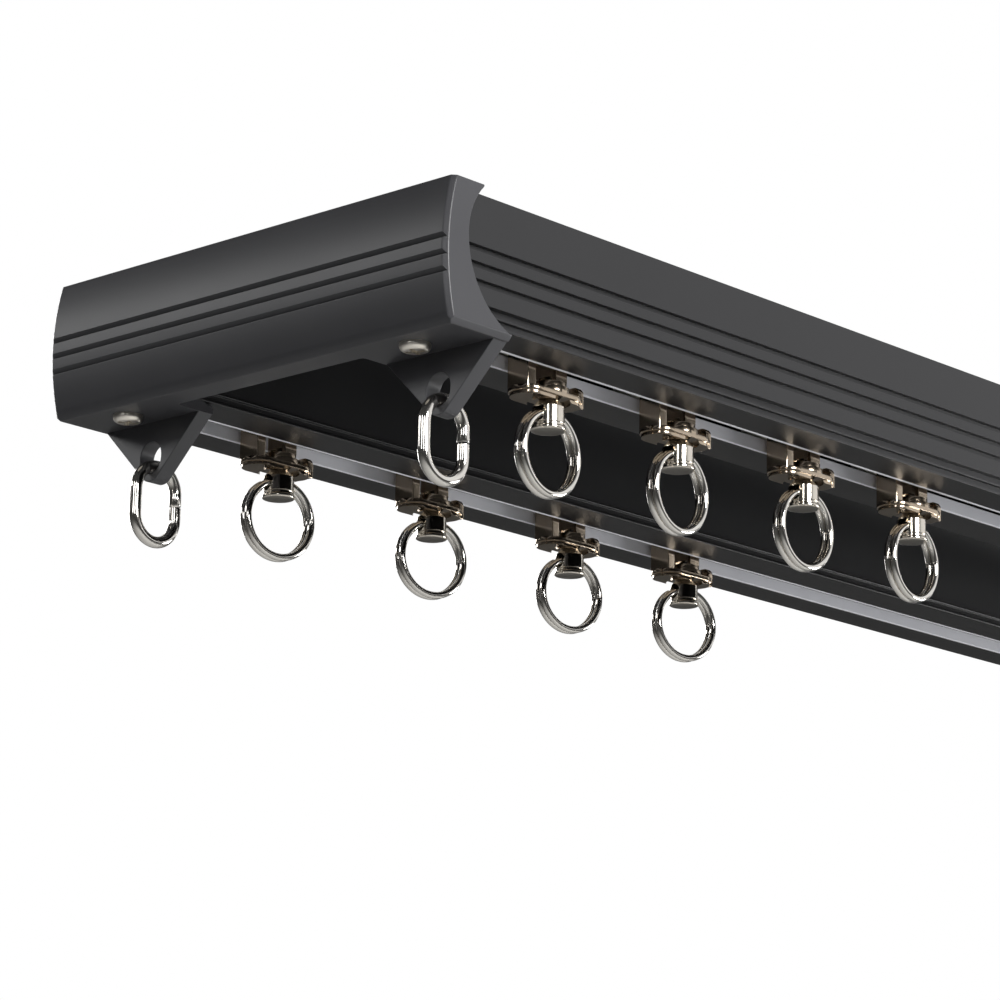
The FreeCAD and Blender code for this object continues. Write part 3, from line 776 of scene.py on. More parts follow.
@dataclass
class Liners:
    """The four grey strips that wrap the lips' edges."""

    fitter: Fitter
    slot_half: float = 3.5
    thick: float = 0.8
    # How far the strip lies on the lip, and the rib under it
    run: float = 5.8
    rib_width: float = 0.9
    rib_deep: float = 0.6
    rib_from_slot: float = 3.0
    lip_bottom: float = LIP_BOTTOM
    lip_top: float = -21.1
    edge: float = 0.15

    def outline(self, lane: Lane, side: int) -> list[Point]:
        """The section of one strip.

        Args:
            lane: the lane that it lies in.
            side: 1 for the outer strip, -1 for the inner one.

        Returns:
            The outline.
        """
        metal = self.slot_half + self.thick
        middle = metal + self.rib_from_slot
        run_level = self.lip_top + self.thick
        rib = self.rib_width / 2
        profile = [
            (self.slot_half, self.lip_bottom),
            (metal, self.lip_bottom),
            (metal, self.lip_top),
            (middle - rib, self.lip_top),
            (middle - rib, self.lip_top - self.rib_deep),
            (middle + rib, self.lip_top - self.rib_deep),
            (middle + rib, self.lip_top),
            (metal + self.run, self.lip_top),
            (metal + self.run, run_level),
            (self.slot_half, run_level),
        ]
        return [(lane.value * (LANE_OFFSET + side * a), z) for a, z in profile]

    def build(self) -> None:
        """Models the strips and fits them."""
        for lane in Lane:
            for side, label in ((1, "outer"), (-1, "inner")):
                node = f"liner_{lane.label}_{label}"
                low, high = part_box(node)
                name = f"quiet_strip_{lane.label}_{label}"
                length = (high.x - low.x) / MM
                piece = prism(name, self.outline(lane, side), Axis.ALONG, low.x / MM, length)
                round_edges(piece, self.edge)
                smooth(piece)
                self.fitter.fit(piece, "track", "liner", node)


@dataclass
class EndCaps:
    """The moulded shells over the rail's ends, with their lugs."""

    fitter: Fitter
    half: float = 51.15
    top: float = 1.3
    top_edge: float = 0.4
    bottom: float = CAP_BOTTOM
    band: float = 1.1
    band_in: float = 0.9
    end_steps: int = 28
    # The hollow that takes the rail's end
    front_wall: float = 2.0
    hollow_half: float = 49.8
    hollow_top: float = 0.1
    hollow_bottom: float = LIP_BOTTOM
    # The hollowed rear edge: two arcs that meet at its waist
    waist_reach: float = 4.0
    waist_depth: float = 7.95
    upper_radius: float = 12.7
    upper_steps: int = 10
    lower_radius: float = 17.0
    lower_steps: int = 16
    # The opening in the floor between the two pads that carry the lugs
    plate_reach: float = 6.4
    pad_inner: float = 24.0
    corner: float = 0.8
    groove_levels: tuple[float, ...] = (-9.8, -12.8, -15.8)
    groove_width: float = 1.1
    groove_deep: float = 0.6
    groove_floor: float = 0.3
    # The pointed lugs and their oval holes
    lug_face: float = 11.9
    lug_thick: float = 3.4
    lug_slope: float = 44.5
    lug_drop: float = 11.4
    lug_sharp: float = 50.0
    nose: float = 3.0
    nose_steps: int = 12
    hole_half: float = 2.8
    hole_top: float = -28.5
    hole_bottom: float = -34.65
    hole_steps: int = 16
    weld: float = 0.2
    screw_hole: float = 1.7
    screw_hole_ends: Point = (-29.76, -21.9)
    edge: float = 0.2
    on_face: float = 0.01

    def reach(self, radius: float, z: float) -> float:
        """How far the hollowed rear edge reaches at height z."""
        return self.waist_reach + radius - math.sqrt(radius**2 - (z + self.waist_depth) ** 2)

    def rear_edge(self, radius: float, z0: float, z1: float, steps: int) -> list[Point]:
        """Points on the hollowed rear edge between two heights."""
        levels = [z0 + (z1 - z0) * i / steps for i in range(steps + 1)]
        return [(self.reach(radius, z), z) for z in levels]

    def barrel(self, z: float) -> float:
        """The x of the rounded end face at height z, measured from the end face's edge."""
        low = self.bottom + self.band
        half = (self.top - low) / 2
        radius = (half**2 + CAP_BULGE**2) / (2 * CAP_BULGE)
        return radius - CAP_BULGE - math.sqrt(radius**2 - (z - (self.top + low) / 2) ** 2)

    def side_outline(self) -> list[Point]:
        """The side view: rounded end face, top edge, hollowed rear edge and slanted band."""
        edge = self.bottom + self.band
        front = [edge + (self.top - edge) * i / self.end_steps for i in range(self.end_steps + 1)]
        points = [(self.barrel(z), z) for z in front]
        tip = self.top - self.top_edge
        points += [(self.reach(self.upper_radius, tip), self.top)]
        points += self.rear_edge(self.upper_radius, tip, -self.waist_depth, self.upper_steps)
        points += self.rear_edge(self.lower_radius, -self.waist_depth, edge, self.lower_steps)[1:]
        back = self.lug_face + self.lug_thick
        points += [(back, edge), (back, self.bottom), (self.band_in, self.bottom)]
        return points

    def shell(self, end_face: float) -> Any:
        """The shell without its lugs.

        Args:
            end_face: the x of the end face's edge.

        Returns:
            The mesh object.
        """
        outline = [(end_face + x, z) for x, z in self.side_outline()]
        body = prism("cap_shell", outline, Axis.ACROSS, -self.half, 2 * self.half)
        self.slant_sides(body)
        self.chamfer_corners(body, end_face)
        round_edges(body, self.edge)
        inside = end_face + self.front_wall
        far = end_face + 3 * self.lug_face
        hollow = block(
            "hollow",
            Vector((inside, -self.hollow_half, self.hollow_bottom)),
            Vector((far, self.hollow_half, self.hollow_top)),
        )
        boolean(body, hollow, "DIFFERENCE")
        opening = block(
            "opening",
            Vector((end_face + self.plate_reach, -self.pad_inner, self.bottom - self.band)),
            Vector((far, self.pad_inner, self.hollow_bottom + self.band)),
        )
        round_edges(opening, self.corner)
        boolean(body, opening, "DIFFERENCE")
        for z in self.groove_levels:
            boolean(body, self.groove(end_face, z), "DIFFERENCE")
        return body

    def groove(self, end_face: float, z: float) -> Any:
        """A cutter for one groove across the end face, with a sloping upper side."""
        half = self.groove_width / 2
        floor = self.barrel(z) + self.groove_deep
        outside = -3 * CAP_BULGE
        points = [
            (end_face + outside, z + half),
            (end_face + self.barrel(z + half), z + half),
            (end_face + floor, z - half + self.groove_floor),
            (end_face + floor, z - half),
            (end_face + outside, z - half),
        ]
        return prism("groove", points, Axis.ACROSS, -2 * self.half, 4 * self.half)

    def slant_sides(self, body: Any) -> None:
        """Cuts the slanted band along the two lower sides."""
        with editing(body):
            for side in (-1, 1):
                bpy.ops.mesh.select_all(action="SELECT")
                bpy.ops.mesh.bisect(
                    plane_co=Vector((0.0, side * self.half, self.bottom + self.band)) * MM,
                    plane_no=Vector((0.0, side * self.band, -self.band_in)).normalized(),
                    use_fill=True,
                    clear_outer=True,
                )
            bpy.ops.mesh.select_all(action="SELECT")
            bpy.ops.mesh.normals_make_consistent(inside=False)

    def chamfer_corners(self, body: Any, end_face: float) -> None:
        """Chamfers the two upright corners of the end face."""
        side = (self.half - self.on_face) * MM
        front = (end_face + self.on_face) * MM
        with editing(body):
            bpy.ops.mesh.select_mode(type="EDGE")
            bpy.ops.mesh.select_all(action="DESELECT")
            mesh = bmesh.from_edit_mesh(body.data)
            for edge in mesh.edges:
                ends = [v.co for v in edge.verts]
                at_corner = all(abs(c.y) > side and c.x < front for c in ends)
                edge.select_set(at_corner and abs(ends[0].y - ends[1].y) < side)
            mesh.select_flush_mode()
            bmesh.update_edit_mesh(body.data)
            bpy.ops.mesh.bevel(offset=self.corner * MM, segments=1, affect="EDGES")

    def lug_outline(self) -> list[Point]:
        """The pointed outline of a lug about its own middle line."""
        slope = math.radians(self.lug_slope)
        centre = self.bottom - self.lug_drop + self.nose
        apex = centre - self.nose / math.cos(slope)
        half = (self.bottom - apex) / math.tan(slope)
        tip = arc((0.0, centre), self.nose, self.lug_slope - 180.0, -self.lug_slope, self.nose_steps)
        sink = self.hollow_bottom - self.weld
        return [(-half, sink), (-half, self.bottom)] + tip + [(half, self.bottom), (half, sink)]

    def lug(self, x: float, y: float) -> Any:
        """One lug with its upright oval hole.

        Args:
            x: where its front face is.
            y: the middle of its lane.

        Returns:
            The mesh object.
        """
        body = prism("lug", [(y + a, z) for a, z in self.lug_outline()], Axis.ALONG, x, self.lug_thick)
        wide = self.hole_half
        hole = arc((y, self.hole_top - wide), wide, 0.0, 180.0, self.hole_steps)
        hole += arc((y, self.hole_bottom + wide), wide, 180.0, 360.0, self.hole_steps)
        cutter = prism("lug_hole", hole, Axis.ALONG, x - self.lug_thick, 3 * self.lug_thick)
        boolean(body, cutter, "DIFFERENCE")
        round_edges(body, self.edge, angle=self.lug_sharp)
        return body

    def build(self) -> None:
        """Models the left cap, mirrors it for the right end and fits both."""
        cap_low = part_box("end_cap_left")[0]
        end_face = cap_low.x / MM + CAP_BULGE
        cap = self.shell(end_face)
        for lane in Lane:
            boolean(cap, self.lug(end_face + self.lug_face, lane.middle), "UNION")
            ends = [Vector((end_face + SCREW_FROM_END, lane.middle, z)) for z in self.screw_hole_ends]
            boolean(cap, round_bar("hole", self.screw_hole, *ends), "DIFFERENCE")
        mirror = copied(cap, "cap_right", Matrix.Scale(-1.0, 4, Axis.ALONG.vector))
        cap.name = "cap_left"
        for piece, end in ((cap, End.LEFT), (mirror, End.RIGHT)):
            smooth(piece)
            self.fitter.fit(piece, "track", "cap", f"end_cap_{end.label}")


@dataclass
class CapScrews:
    """Pan head screws with a cross recess under the caps' floors."""

    fitter: Fitter
    head_radius: float = 2.8
    head: float = 1.4
    crown: float = 1.0
    crown_steps: int = 8
    shank: float = 1.46
    floor: float = CAP_BOTTOM
    shank_end: float = -16.5
    recess_long: float = 3.6
    recess_wide: float = 0.8
    recess_deep: float = 0.7
    turns: tuple[float, ...] = (20.0, 62.0, 35.0, 5.0)
    sharp: float = 25.0

    def screw(self) -> Any:
        """One screw on the upright axis through the origin.

        Returns:
            The mesh object.
        """
        base = self.floor - self.head
        crown = (self.head_radius - self.crown, base + self.crown)
        points = [(0.0, base)] + arc(crown, self.crown, -90.0, 0.0, self.crown_steps)
        points += [(self.head_radius, self.floor), (self.shank, self.floor)]
        points += [(self.shank, self.shank_end), (0.0, self.shank_end)]
        made = turned("screw", points)
        long, wide = self.recess_long / 2, self.recess_wide / 2
        for a, b in ((long, wide), (wide, long)):
            corner = Vector((a, b, self.recess_deep))
            middle = Vector((0.0, 0.0, base))
            boolean(made, block("recess", middle - corner, middle + corner), "DIFFERENCE")
        smooth(made, angle=self.sharp)
        return made

    def build(self) -> None:
        """Models one screw, copies it to the four places and fits them as one piece."""
        master = self.screw()
        cap_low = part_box("end_cap_left")[0]
        near = cap_low.x / MM + CAP_BULGE + SCREW_FROM_END
        places = [Vector((x, lane.middle, 0.0)) for x in (near, -near) for lane in Lane]
        copies = []
        for place, turn in zip(places, self.turns):
            move = Matrix.Translation(place * MM) @ Matrix.Rotation(math.radians(turn), 4, "Z")
            copies.append(copied(master, "screws", move))
        bpy.data.objects.remove(master)
        choose(*copies)
        bpy.ops.object.join()
        joined = bpy.context.active_object
        joined.name = "cap_screw_set"
        self.fitter.fit(joined, "track", "screw", "cap_screws")


class Wire:
    """Round wire that is bent step by step from one end to the other.

    Attributes:
        end_sharp: the bevel's angle limit, which only the edges of the wire's ends pass, in degrees.
        shade_sharp: across which angle the wire isn't shaded smooth, in degrees.
    """

    end_sharp = 60.0
    shade_sharp = 50.0

    def __init__(self, name: str, radius: float, around: int, middle: Vector, direction: Vector) -> None:
        """Makes the wire's first end as a filled circle.

        Args:
            name: the piece's name.
            radius: in millimetres.
            around: how many corners its section has.
            middle: the middle of the end, in millimetres.
            direction: the way in which the wire leaves.
        """
        Bench.rest()
        turn = direction.to_track_quat("Z", "Y").to_euler()
        bpy.ops.mesh.primitive_circle_add(
            vertices=around, radius=radius * MM, fill_type="NGON", location=middle * MM, rotation=turn
        )
        bpy.ops.object.transform_apply(location=True, rotation=True, scale=True)
        self.bench = Bench(name)
        bpy.ops.mesh.select_mode(type="FACE")
        bpy.ops.mesh.select_all(action="SELECT")

    def straight(self, step: Vector) -> None:
        """Runs the wire straight on by a step in millimetres."""
        self.bench.pull(step * MM)

    def bend(self, centre: Vector, axis: Vector, angle: float, steps: int) -> None:
        """Bends the wire round a centre.

        Args:
            centre: in millimetres.
            axis: the bend's axis.
            angle: in degrees.
            steps: how many stretches it has.
        """
        self.bench.spin(math.radians(angle), steps, centre * MM, axis)

    def step_over(self, centre: Vector, axis: Vector, angle: float, shift: float, steps: int) -> None:
        """Bends the wire while it moves sideways along the bend's axis.

        Args:
            centre: in millimetres.
            axis: the bend's axis.
            angle: in degrees.
            shift: how far it moves sideways, in millimetres.
            steps: how many stretches it has.
        """
        before = 0.0
        for i in range(1, steps + 1):
            after = shift * (1 - math.cos(math.pi * i / steps)) / 2
            self.bench.spin(math.radians(angle / steps), 1, centre * MM, axis)
            self.bench.move(axis * ((after - before) * MM))
            before = after

    def done(self, rounding: float) -> Any:
        """Closes the wire and breaks the edges of its ends.

        Args:
            rounding: in millimetres.

        Returns:
            The mesh object.
        """
        piece = self.bench.done()
        round_edges(piece, rounding, angle=self.end_sharp)
        smooth(piece, angle=self.shade_sharp)
        return piece


@dataclass
class Links:
    """Oval links of thick wire in the lugs, cut through on the leg that faces the track's middle."""

    fitter: Fitter
    wire: float = 2.25
    width: float = 11.95
    height: float = 16.6
    split: float = 0.25
    split_above_bottom: float = 8.6
    around: int = 32
    bend_steps: int = 40
    end_round: float = 0.15

    def master(self) -> Any:
        """One link upright in the XZ plane with its lowest point at z = 0.

        Returns:
            The mesh object.
        """
        radius = self.wire / 2
        bend = (self.width - self.wire) / 2
        upper = self.height - radius - bend
        lower = radius + bend
        split = self.split_above_bottom
        start = Vector((bend, 0.0, split + self.split / 2))
        turn = Axis.ACROSS.vector
        wire = Wire("link", radius, self.around, start, Axis.UP.vector)
        wire.straight(Vector((0.0, 0.0, upper - start.z)))
        wire.bend(Vector((0.0, 0.0, upper)), turn, 180.0, self.bend_steps)
        wire.straight(Vector((0.0, 0.0, lower - upper)))
        wire.bend(Vector((0.0, 0.0, lower)), turn, 180.0, self.bend_steps)
        wire.straight(Vector((0.0, 0.0, split - self.split / 2 - lower)))
        return wire.done(self.end_round)

    def build(self) -> None:
        """Models one link and fits its four copies."""
        master = self.master()
        for end in End:
            for lane in Lane:
                node = f"link_{end.label}_{lane.label}"
                low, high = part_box(node)
                middle = (low + high) / 2
                place = Matrix.Translation(Vector((middle.x, middle.y, low.z)))
                if end is End.RIGHT:
                    place = place @ Matrix.Rotation(math.pi, 4, "Z")
                piece = copied(master, f"oval_{node}", place)
                self.fitter.fit(piece, node, "link", node)
        bpy.data.objects.remove(master)


@dataclass
class Carriages:
    """The cast bodies of the gliders, modelled about the swivel axis with z = 0 under the end pads."""

    fitter: Fitter
    foot_left: float = -9.0
    foot_right: float = 7.0
    foot_wide: float = 7.5
    foot_low: float = 0.65
    foot_top: float = 1.65
    foot_steps: int = 20
    pad_in: float = 0.35
    # The round pocket under the foot, and the two steps over it
    pocket: float = 3.9
    boss_radii: tuple[float, ...] = (3.8, 3.2)
    boss_step: float = 1.0
    fine_steps: int = 96
    weld: float = 0.5
    below: float = -1.0
    # The two stems by their left and right sides, and how wide they are across the track
    stem: float = 5.0
    post: Point = (-8.2, -6.1)
    neck: Point = (-0.95, 2.1)
    # The upright stop at the foot's right end
    stop_left: float = 5.2
    stop_right: float = 6.6
    stop_wide: float = 5.0
    stop_top: float = 3.95
    stop_round: float = 1.4
    stop_steps: int = 8
    # The bar in the channel with its axle holes
    bar_left: float = -9.6
    bar_right: float = 7.6
    bar_low: float = 9.5
    bar_high: float = 15.5
    bar_round: float = 2.0
    bar_steps: int = 6
    axle_level: float = 12.9
    axle_places: tuple[float, ...] = (-6.3, 4.3)
    bore: float = 1.05
    # The window over the bosses, where the eye's peened head shows
    window_wide: float = 3.2
    window_high: float = 1.1
    edge: float = 0.18

    def stadium(self, left: float, right: float, half: float) -> list[Point]:
        """An outline with round ends."""
        right_end = arc((right - half, 0.0), half, -90.0, 90.0, self.foot_steps)
        return right_end + arc((left + half, 0.0), half, 90.0, 270.0, self.foot_steps)

    def slab(self, name: str, inset: float, low: float, high: float) -> Any:
        """A flat piece with round ends.

        Args:
            name: the piece's name.
            inset: how far it stays inside the foot plate's edge.
            low: its lower level.
            high: its upper level.

        Returns:
            The mesh object.
        """
        outline = self.stadium(self.foot_left + inset, self.foot_right - inset, self.foot_wide / 2 - inset)
        return prism(name, outline, Axis.UP, low, high - low)

    def upright(self, name: str, radius: float, low: float, high: float, steps: int = 48) -> Any:
        """A round bar on the swivel axis between two levels."""
        return round_bar(name, radius, Vector((0, 0, low)), Vector((0, 0, high)), steps)

    def foot_piece(self) -> Any:
        """The foot plate with its end pads, its stop and its bosses."""
        plate = self.slab("foot", 0.0, self.foot_low, self.foot_top)
        round_edges(plate, self.edge)
        middle = (self.foot_low + self.foot_top) / 2
        pads = self.slab("pads", self.pad_in, 0.0, middle)
        pocket = self.upright("pocket", self.pocket, self.below, self.foot_top, self.fine_steps)
        boolean(pads, pocket, "DIFFERENCE")
        round_edges(pads, self.edge)
        boolean(plate, pads, "UNION")
        for number, radius in enumerate(self.boss_radii):
            high = self.foot_top + (number + 1) * self.boss_step
            boss = self.upright("boss", radius, middle, high, self.fine_steps)
            round_edges(boss, self.edge)
            boolean(plate, boss, "UNION")
        boolean(plate, self.stop_piece(), "UNION")
        return plate

    def stop_piece(self) -> Any:
        """The upright stop with rounded corners at the foot plate's right end."""
        half, r, top = self.stop_wide / 2, self.stop_round, self.stop_top
        points = [(-half, 0.0), (half, 0.0)]
        points += arc((half - r, top - r), r, 0.0, 90.0, self.stop_steps)
        points += arc((r - half, top - r), r, 90.0, 180.0, self.stop_steps)
        stop = prism("stop", points, Axis.ALONG, self.stop_left, self.stop_right - self.stop_left)
        round_edges(stop, self.edge)
        return stop

    def bar_piece(self) -> Any:
        """The bar in the channel, between the wheels."""
        r = self.bar_round
        left, right = self.bar_left + r, self.bar_right - r
        low, high = self.bar_low + r, self.bar_high - r
        points = []
        for number, corner in enumerate(((right, low), (right, high), (left, high), (left, low))):
            start = 90.0 * (number - 1)
            points += arc(corner, r, start, start + 90.0, self.bar_steps)
        bar = prism("bar", points, Axis.ACROSS, -self.stem / 2, self.stem)
        round_edges(bar, self.edge)
        return bar

    def master(self) -> Any:
        """One whole carriage.

        Returns:
            The mesh object.
        """
        body = self.foot_piece()
        half = self.stem / 2
        boss_top = self.foot_top + len(self.boss_radii) * self.boss_step
        stem_top = self.bar_low + self.bar_round
        for (left, right), foot in ((self.post, self.foot_top), (self.neck, boss_top)):
            stem = block("stem", Vector((left, -half, foot - self.weld)), Vector((right, half, stem_top)))
            round_edges(stem, self.edge)
            boolean(body, stem, "UNION")
        boolean(body, self.bar_piece(), "UNION")
        reach = self.boss_radii[1]
        wide = self.window_wide / 2
        window_top = boss_top + self.window_high
        window = block("window", Vector((-reach, -wide, boss_top)), Vector((reach, wide, window_top)))
        boolean(body, window, "DIFFERENCE")
        boolean(body, self.upright("spigot_hole", self.bore, self.below, boss_top + self.weld), "DIFFERENCE")
        for x in self.axle_places:
            ends = [Vector((x, y, self.axle_level)) for y in (-self.stem, self.stem)]
            boolean(body, round_bar("bore", self.bore, *ends), "DIFFERENCE")
        smooth(body)
        return body

    def place(self, name: str) -> Matrix:
        """Where a glider's carriage goes."""
        low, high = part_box(f"{name}_carriage")
        return Matrix.Translation(Vector((low.x - self.bar_left * MM, (low.y + high.y) / 2, low.z)))

    def build(self) -> None:
        """Models one carriage and fits its eight copies."""
        self.fitter.fit_gliders(self.master(), "carriage", "cast_body", self.place)


@dataclass
class Eyes:
    """The turned swivel studs, modelled with their lower end at z = 0."""

    fitter: Fitter
    length: float = 9.6
    flange_radius: float = 3.2
    flange: float = 0.85
    flange_round: float = 0.34
    round_steps: int = 6
    barrel_radius: float = 2.95
    # The fine turned line over the flange
    line_above: float = 0.5
    line: float = 0.24
    shoulder_low: float = 4.3
    shoulder_high: float = 5.7
    neck_radius: float = 1.8
    spigot_radius: float = 1.0
    head_low: float = 8.8
    head_radius: float = 1.5
    # The cross hole for the ring, with flared mouths
    hole_radius: float = 1.55
    hole_level: float = 3.05
    mouth: float = 0.3
    mouth_deep: float = 0.2
    body_steps: int = 72
    hole_steps: int = 48
    sharp: float = 28.0

    def profile(self) -> list[Point]:
        """The turned profile from the lower end to the peened head."""
        r = self.flange_round
        line = self.flange + self.line_above
        fine = self.line / 2
        points = [(0.0, 0.0)]
        points += arc((self.flange_radius - r, r), r, -90.0, 0.0, self.round_steps)
        points += arc((self.flange_radius - r, self.flange - r), r, 0.0, 90.0, self.round_steps)
        points += [
            (self.barrel_radius, self.flange),
            (self.barrel_radius, line - fine),
            (self.barrel_radius - fine, line),
            (self.barrel_radius, line + fine),
            (self.barrel_radius, self.shoulder_low),
            (self.neck_radius, self.shoulder_high),
            (self.spigot_radius, self.shoulder_high),
            (self.spigot_radius, self.head_low),
            (self.head_radius, self.head_low),
            (self.head_radius, (self.head_low + self.length) / 2),
            (self.spigot_radius, self.length),
            (0.0, self.length),
        ]
        return points

    def master(self) -> Any:
        """One eye with its cross hole along X.

        Returns:
            The mesh object.
        """
        body = turned("eye", self.profile(), self.body_steps)
        reach = 2 * self.barrel_radius
        flare = self.hole_radius + self.mouth
        flat = self.barrel_radius - self.mouth_deep
        half = [(self.hole_radius, flat), (flare, flat + self.mouth), (flare, reach), (0.0, reach)]
        cutter = turned("cross_hole", [(r, -x) for r, x in reversed(half)] + half, self.hole_steps)
        tip = Matrix.Rotation(math.pi / 2, 4, "Y")
        cutter.data.transform(Matrix.Translation((0.0, 0.0, self.hole_level * MM)) @ tip)
        boolean(body, cutter, "DIFFERENCE")
        smooth(body, angle=self.sharp)
        return body

    def place(self, name: str) -> Matrix:
        """Where a glider's eye goes."""
        return swivel_place(name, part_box(f"{name}_eye")[0].z)

    def build(self) -> None:
        """Models one eye and fits its eight copies."""
        self.fitter.fit_gliders(self.master(), "eye", "swivel_eye", self.place)


@dataclass
class Rings:
    """The double-turn split rings, modelled in the XZ plane about their own middle."""

    fitter: Fitter
    outer: float = 16.2
    wire: float = 1.4
    gap: float = 0.04
    crossing: float = 34.0
    open_angle: float = 8.0
    # Where on the circle the wire starts, in degrees
    end_at: float = 118.0
    around: int = 20
    first_steps: int = 76
    crossing_steps: int = 10
    second_steps: int = 74
    end_round: float = 0.12

    def master(self) -> Any:
        """One ring.

        Returns:
            The mesh object.
        """
        radius = (self.outer - self.wire) / 2
        side = (self.wire + self.gap) / 2
        first = 360.0 - self.crossing
        a = math.radians(self.end_at)
        start = Vector((radius * math.cos(a), side, radius * math.sin(a)))
        wire = Wire("ring", self.wire / 2, self.around, start, Vector((-math.sin(a), 0.0, math.cos(a))))
        turn = Axis.ACROSS.vector
        wire.bend(Vector(), turn, first, self.first_steps)
        wire.step_over(Vector(), turn, self.crossing, -2 * side, self.crossing_steps)
        wire.bend(Vector(), turn, first - self.open_angle, self.second_steps)
        return wire.done(self.end_round)

    def place(self, name: str) -> Matrix:
        """Where a glider's ring goes."""
        return swivel_place(name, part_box(f"{name}_ring")[0].z + self.outer / 2 * MM)

    def build(self) -> None:
        """Models one ring and fits its eight copies."""
        self.fitter.fit_gliders(self.master(), "ring", "split_ring", self.place)


# Studio


@dataclass(frozen=True)
class Lamp:
    """A rectangular soft lamp that faces the track's near end.

    Attributes:
        name: the lamp's name.
        place: in metres.
        size: width and height in metres.
        power: in watts.
        target: what it faces, in metres.
    """

    name: str
    place: tuple[float, float, float]
    size: Point
    power: float
    target: tuple[float, float, float] = (-0.2, 0.0, 0.0)

    def hang(self) -> None:
        """Adds the lamp to the scene."""
        data = bpy.data.lights.new(self.name, "AREA")
        data.shape = "RECTANGLE"
        data.size, data.size_y = self.size
        data.energy = self.power
        lamp = bpy.data.objects.new(self.name, data)
        lamp.location = self.place
        aim = Vector(self.target) - Vector(self.place)
        lamp.rotation_euler = aim.to_track_quat("-Z", "Y").to_euler()
        bpy.context.scene.collection.objects.link(lamp)


LAMPS = (
    Lamp("side_softbox", (-0.35, -1.6, 0.42), (0.6, 0.5), 34.0),
    Lamp("end_softbox", (-1.6, -0.15, 0.35), (0.2, 0.5), 2.2),
    Lamp("back_softbox", (-1.19, 1.07, 0.48), (0.9, 0.25), 3.8),
    Lamp("front_strip", (-1.38, -1.0, 0.33), (0.14, 0.5), 2.4),
    Lamp("rear_softbox", (0.4, 1.6, 0.4), (0.6, 0.5), 10.0),
    Lamp("low_strip", (1.1, -0.6, -0.38), (0.7, 0.25), 10.0),
    Lamp("top_softbox", (0.2, -0.2, 1.6), (1.2, 0.8), 5.0),
)


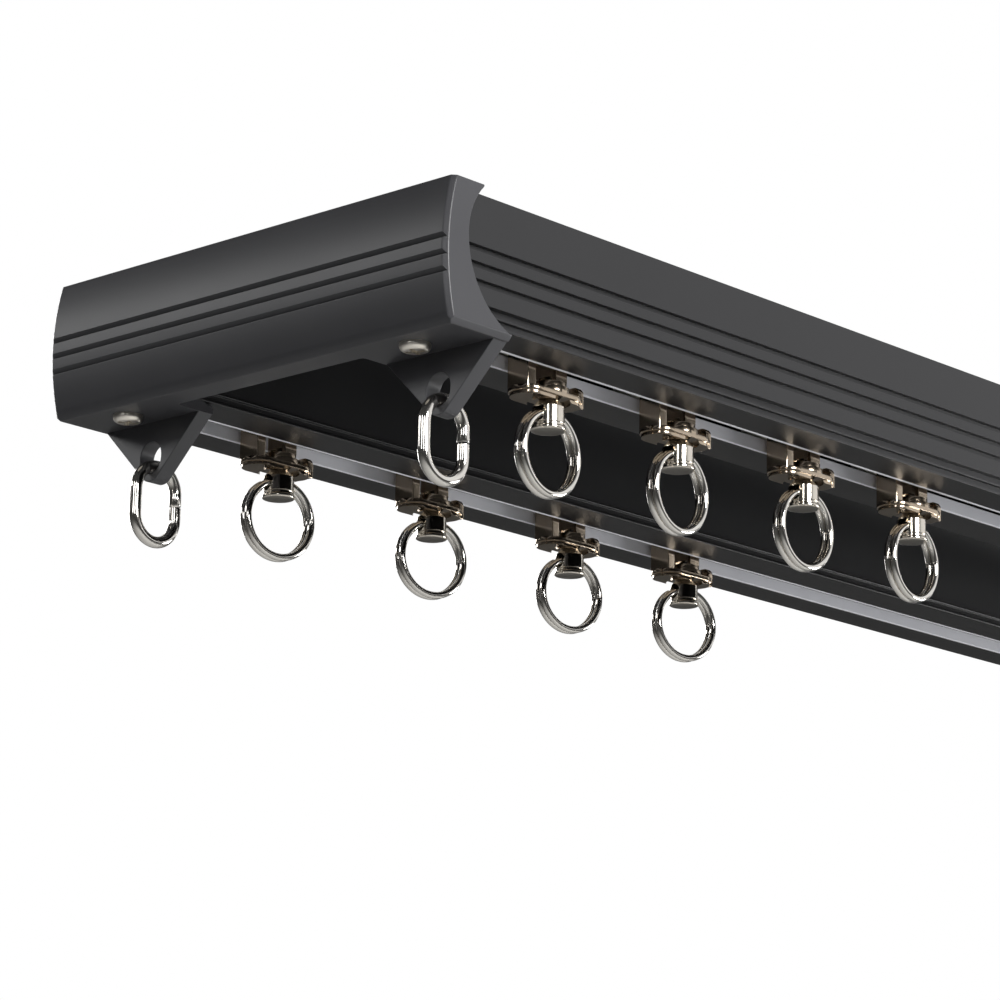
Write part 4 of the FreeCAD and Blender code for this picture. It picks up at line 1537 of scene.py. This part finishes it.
@dataclass
class Studio:
    """Pale floor, white surroundings, soft lamps and the camera.

    Attributes:
        floor_level: height of the floor in metres.
        floor_size: in metres.
        floor_colour: sRGB hex colour.
        floor_roughness: of the floor's surface.
        camera_place: in metres.
        azimuth: the camera's side, in degrees.
        elevation: the camera's height angle, in degrees.
        roll: in degrees.
        lens: in millimetres on the default sensor.
        clip: the nearest and farthest distance that the camera sees, in metres.
        fill: strength of the surroundings as they light the object.
        bright_way: the direction in which reflections see white surroundings.
        side_fade: where they start and end to be white, by closeness to that direction.
        rise_fade: where they start and end to be white, by height.
    """

    floor_level: float = -0.9
    floor_size: float = 80.0
    floor_colour: str = "#cfcfcd"
    floor_roughness: float = 0.9
    camera_place: tuple[float, float, float] = (-0.7155, -0.4535, -0.1997)
    azimuth: float = -46.8
    elevation: float = -14.0
    roll: float = 1.2
    lens: float = 129.8
    clip: Point = (0.01, 200.0)
    fill: float = 0.05
    bright_way: tuple[float, float, float] = (0.985, 0.174, 0.0)
    side_fade: Point = (-0.1, 0.45)
    rise_fade: Point = (-0.12, 0.05)

    def floor(self) -> None:
        """Lays the floor, which the camera alone also sees glow, so that it is pale in every picture."""
        Bench.rest()
        bpy.ops.mesh.primitive_plane_add(size=self.floor_size, location=(0, 0, self.floor_level))
        plane = bpy.context.active_object
        plane.name = "floor"
        made = bpy.data.materials.new("pale_floor")
        made.use_nodes = True
        tree = made.node_tree
        shader = tree.nodes["Principled BSDF"].inputs
        shader["Base Color"].default_value = linear(self.floor_colour)
        shader["Roughness"].default_value = self.floor_roughness
        shader["Emission Color"].default_value = linear(self.floor_colour)
        path = add_node(tree, "ShaderNodeLightPath", {}, {}).outputs
        tree.links.new(path["Is Camera Ray"], shader["Emission Strength"])
        plane.data.materials.append(made)

    def world(self) -> None:
        """Makes surroundings that are white to the camera, and in reflections white on one side only."""
        world = bpy.data.worlds.new("studio")
        bpy.context.scene.world = world
        world.use_nodes = True
        tree = world.node_tree
        tree.nodes.clear()
        way = add_node(tree, "ShaderNodeTexCoord", {}, {}).outputs["Generated"]
        split = add_node(tree, "ShaderNodeSeparateXYZ", {}, {0: way})
        facing = add_node(tree, "ShaderNodeVectorMath", {"operation": "DOT_PRODUCT"}, {0: way})
        facing.inputs[1].default_value = self.bright_way
        side = self.ramp(tree, facing.outputs["Value"], self.side_fade)
        rise = self.ramp(tree, split.outputs["Z"], self.rise_fade)
        pattern = self.join(tree, "MULTIPLY", side, rise)
        path = add_node(tree, "ShaderNodeLightPath", {}, {}).outputs
        mirrored = self.join(tree, "MAXIMUM", path["Is Glossy Ray"], path["Is Transmission Ray"])
        lit = self.join(tree, "MULTIPLY", mirrored, pattern)
        shown = self.join(tree, "MAXIMUM", path["Is Camera Ray"], lit)
        level = add_node(tree, "ShaderNodeMapRange", {"To Min": self.fill, "To Max": 1.0}, {"Value": shown})
        white = {"Color": (1.0, 1.0, 1.0, 1.0)}
        sky = add_node(tree, "ShaderNodeBackground", white, {"Strength": level.outputs["Result"]})
        add_node(tree, "ShaderNodeOutputWorld", {}, {"Surface": sky.outputs["Background"]})

    def ramp(self, tree: Any, value: Any, ends: Point) -> Any:
        """A soft step from zero to one between two ends."""
        settings = {"interpolation_type": "SMOOTHSTEP", "From Min": ends[0], "From Max": ends[1]}
        return add_node(tree, "ShaderNodeMapRange", settings, {"Value": value}).outputs["Result"]

    def join(self, tree: Any, operation: str, first: Any, second: Any) -> Any:
        """One arithmetic step on two outputs."""
        return add_node(tree, "ShaderNodeMath", {"operation": operation}, {0: first, 1: second}).outputs[0]

    def camera(self) -> None:
        """Sets the camera at the picture's viewing angle."""
        a, e = math.radians(self.azimuth), math.radians(self.elevation)
        back = Vector((math.sin(a) * math.cos(e), -math.cos(a) * math.cos(e), math.sin(e)))
        level_right = Vector((math.cos(a), math.sin(a), 0.0))
        level_up = back.cross(level_right)
        r = math.radians(self.roll)
        right = level_right * math.cos(r) + level_up * math.sin(r)
        up = back.cross(right)
        data = bpy.data.cameras.new("camera")
        data.lens = self.lens
        data.clip_start, data.clip_end = self.clip
        camera = bpy.data.objects.new("camera", data)
        turn = Matrix((right, up, back)).transposed().to_4x4()
        camera.matrix_world = Matrix.Translation(self.camera_place) @ turn
        bpy.context.scene.collection.objects.link(camera)
        bpy.context.scene.camera = camera

    def build(self) -> None:
        """Sets up the whole studio."""
        self.floor()
        self.world()
        for lamp in LAMPS:
            lamp.hang()
        self.camera()
        bpy.context.scene.view_settings.view_transform = "Standard"


def main() -> None:
    """Builds every sub-assembly in order."""
    logging.basicConfig(level=logging.INFO, format="%(message)s")
    wardrobe = Wardrobe()
    wardrobe.dress_frame()
    fitter = Fitter(wardrobe)
    for maker in (Rail, Liners, EndCaps, CapScrews, Links, Carriages, Eyes, Rings):
        maker(fitter).build()
        log.info("%s done, %d pieces so far", maker.__name__, fitter.count)
    Studio().build()


if __name__ == "__main__":
    main()
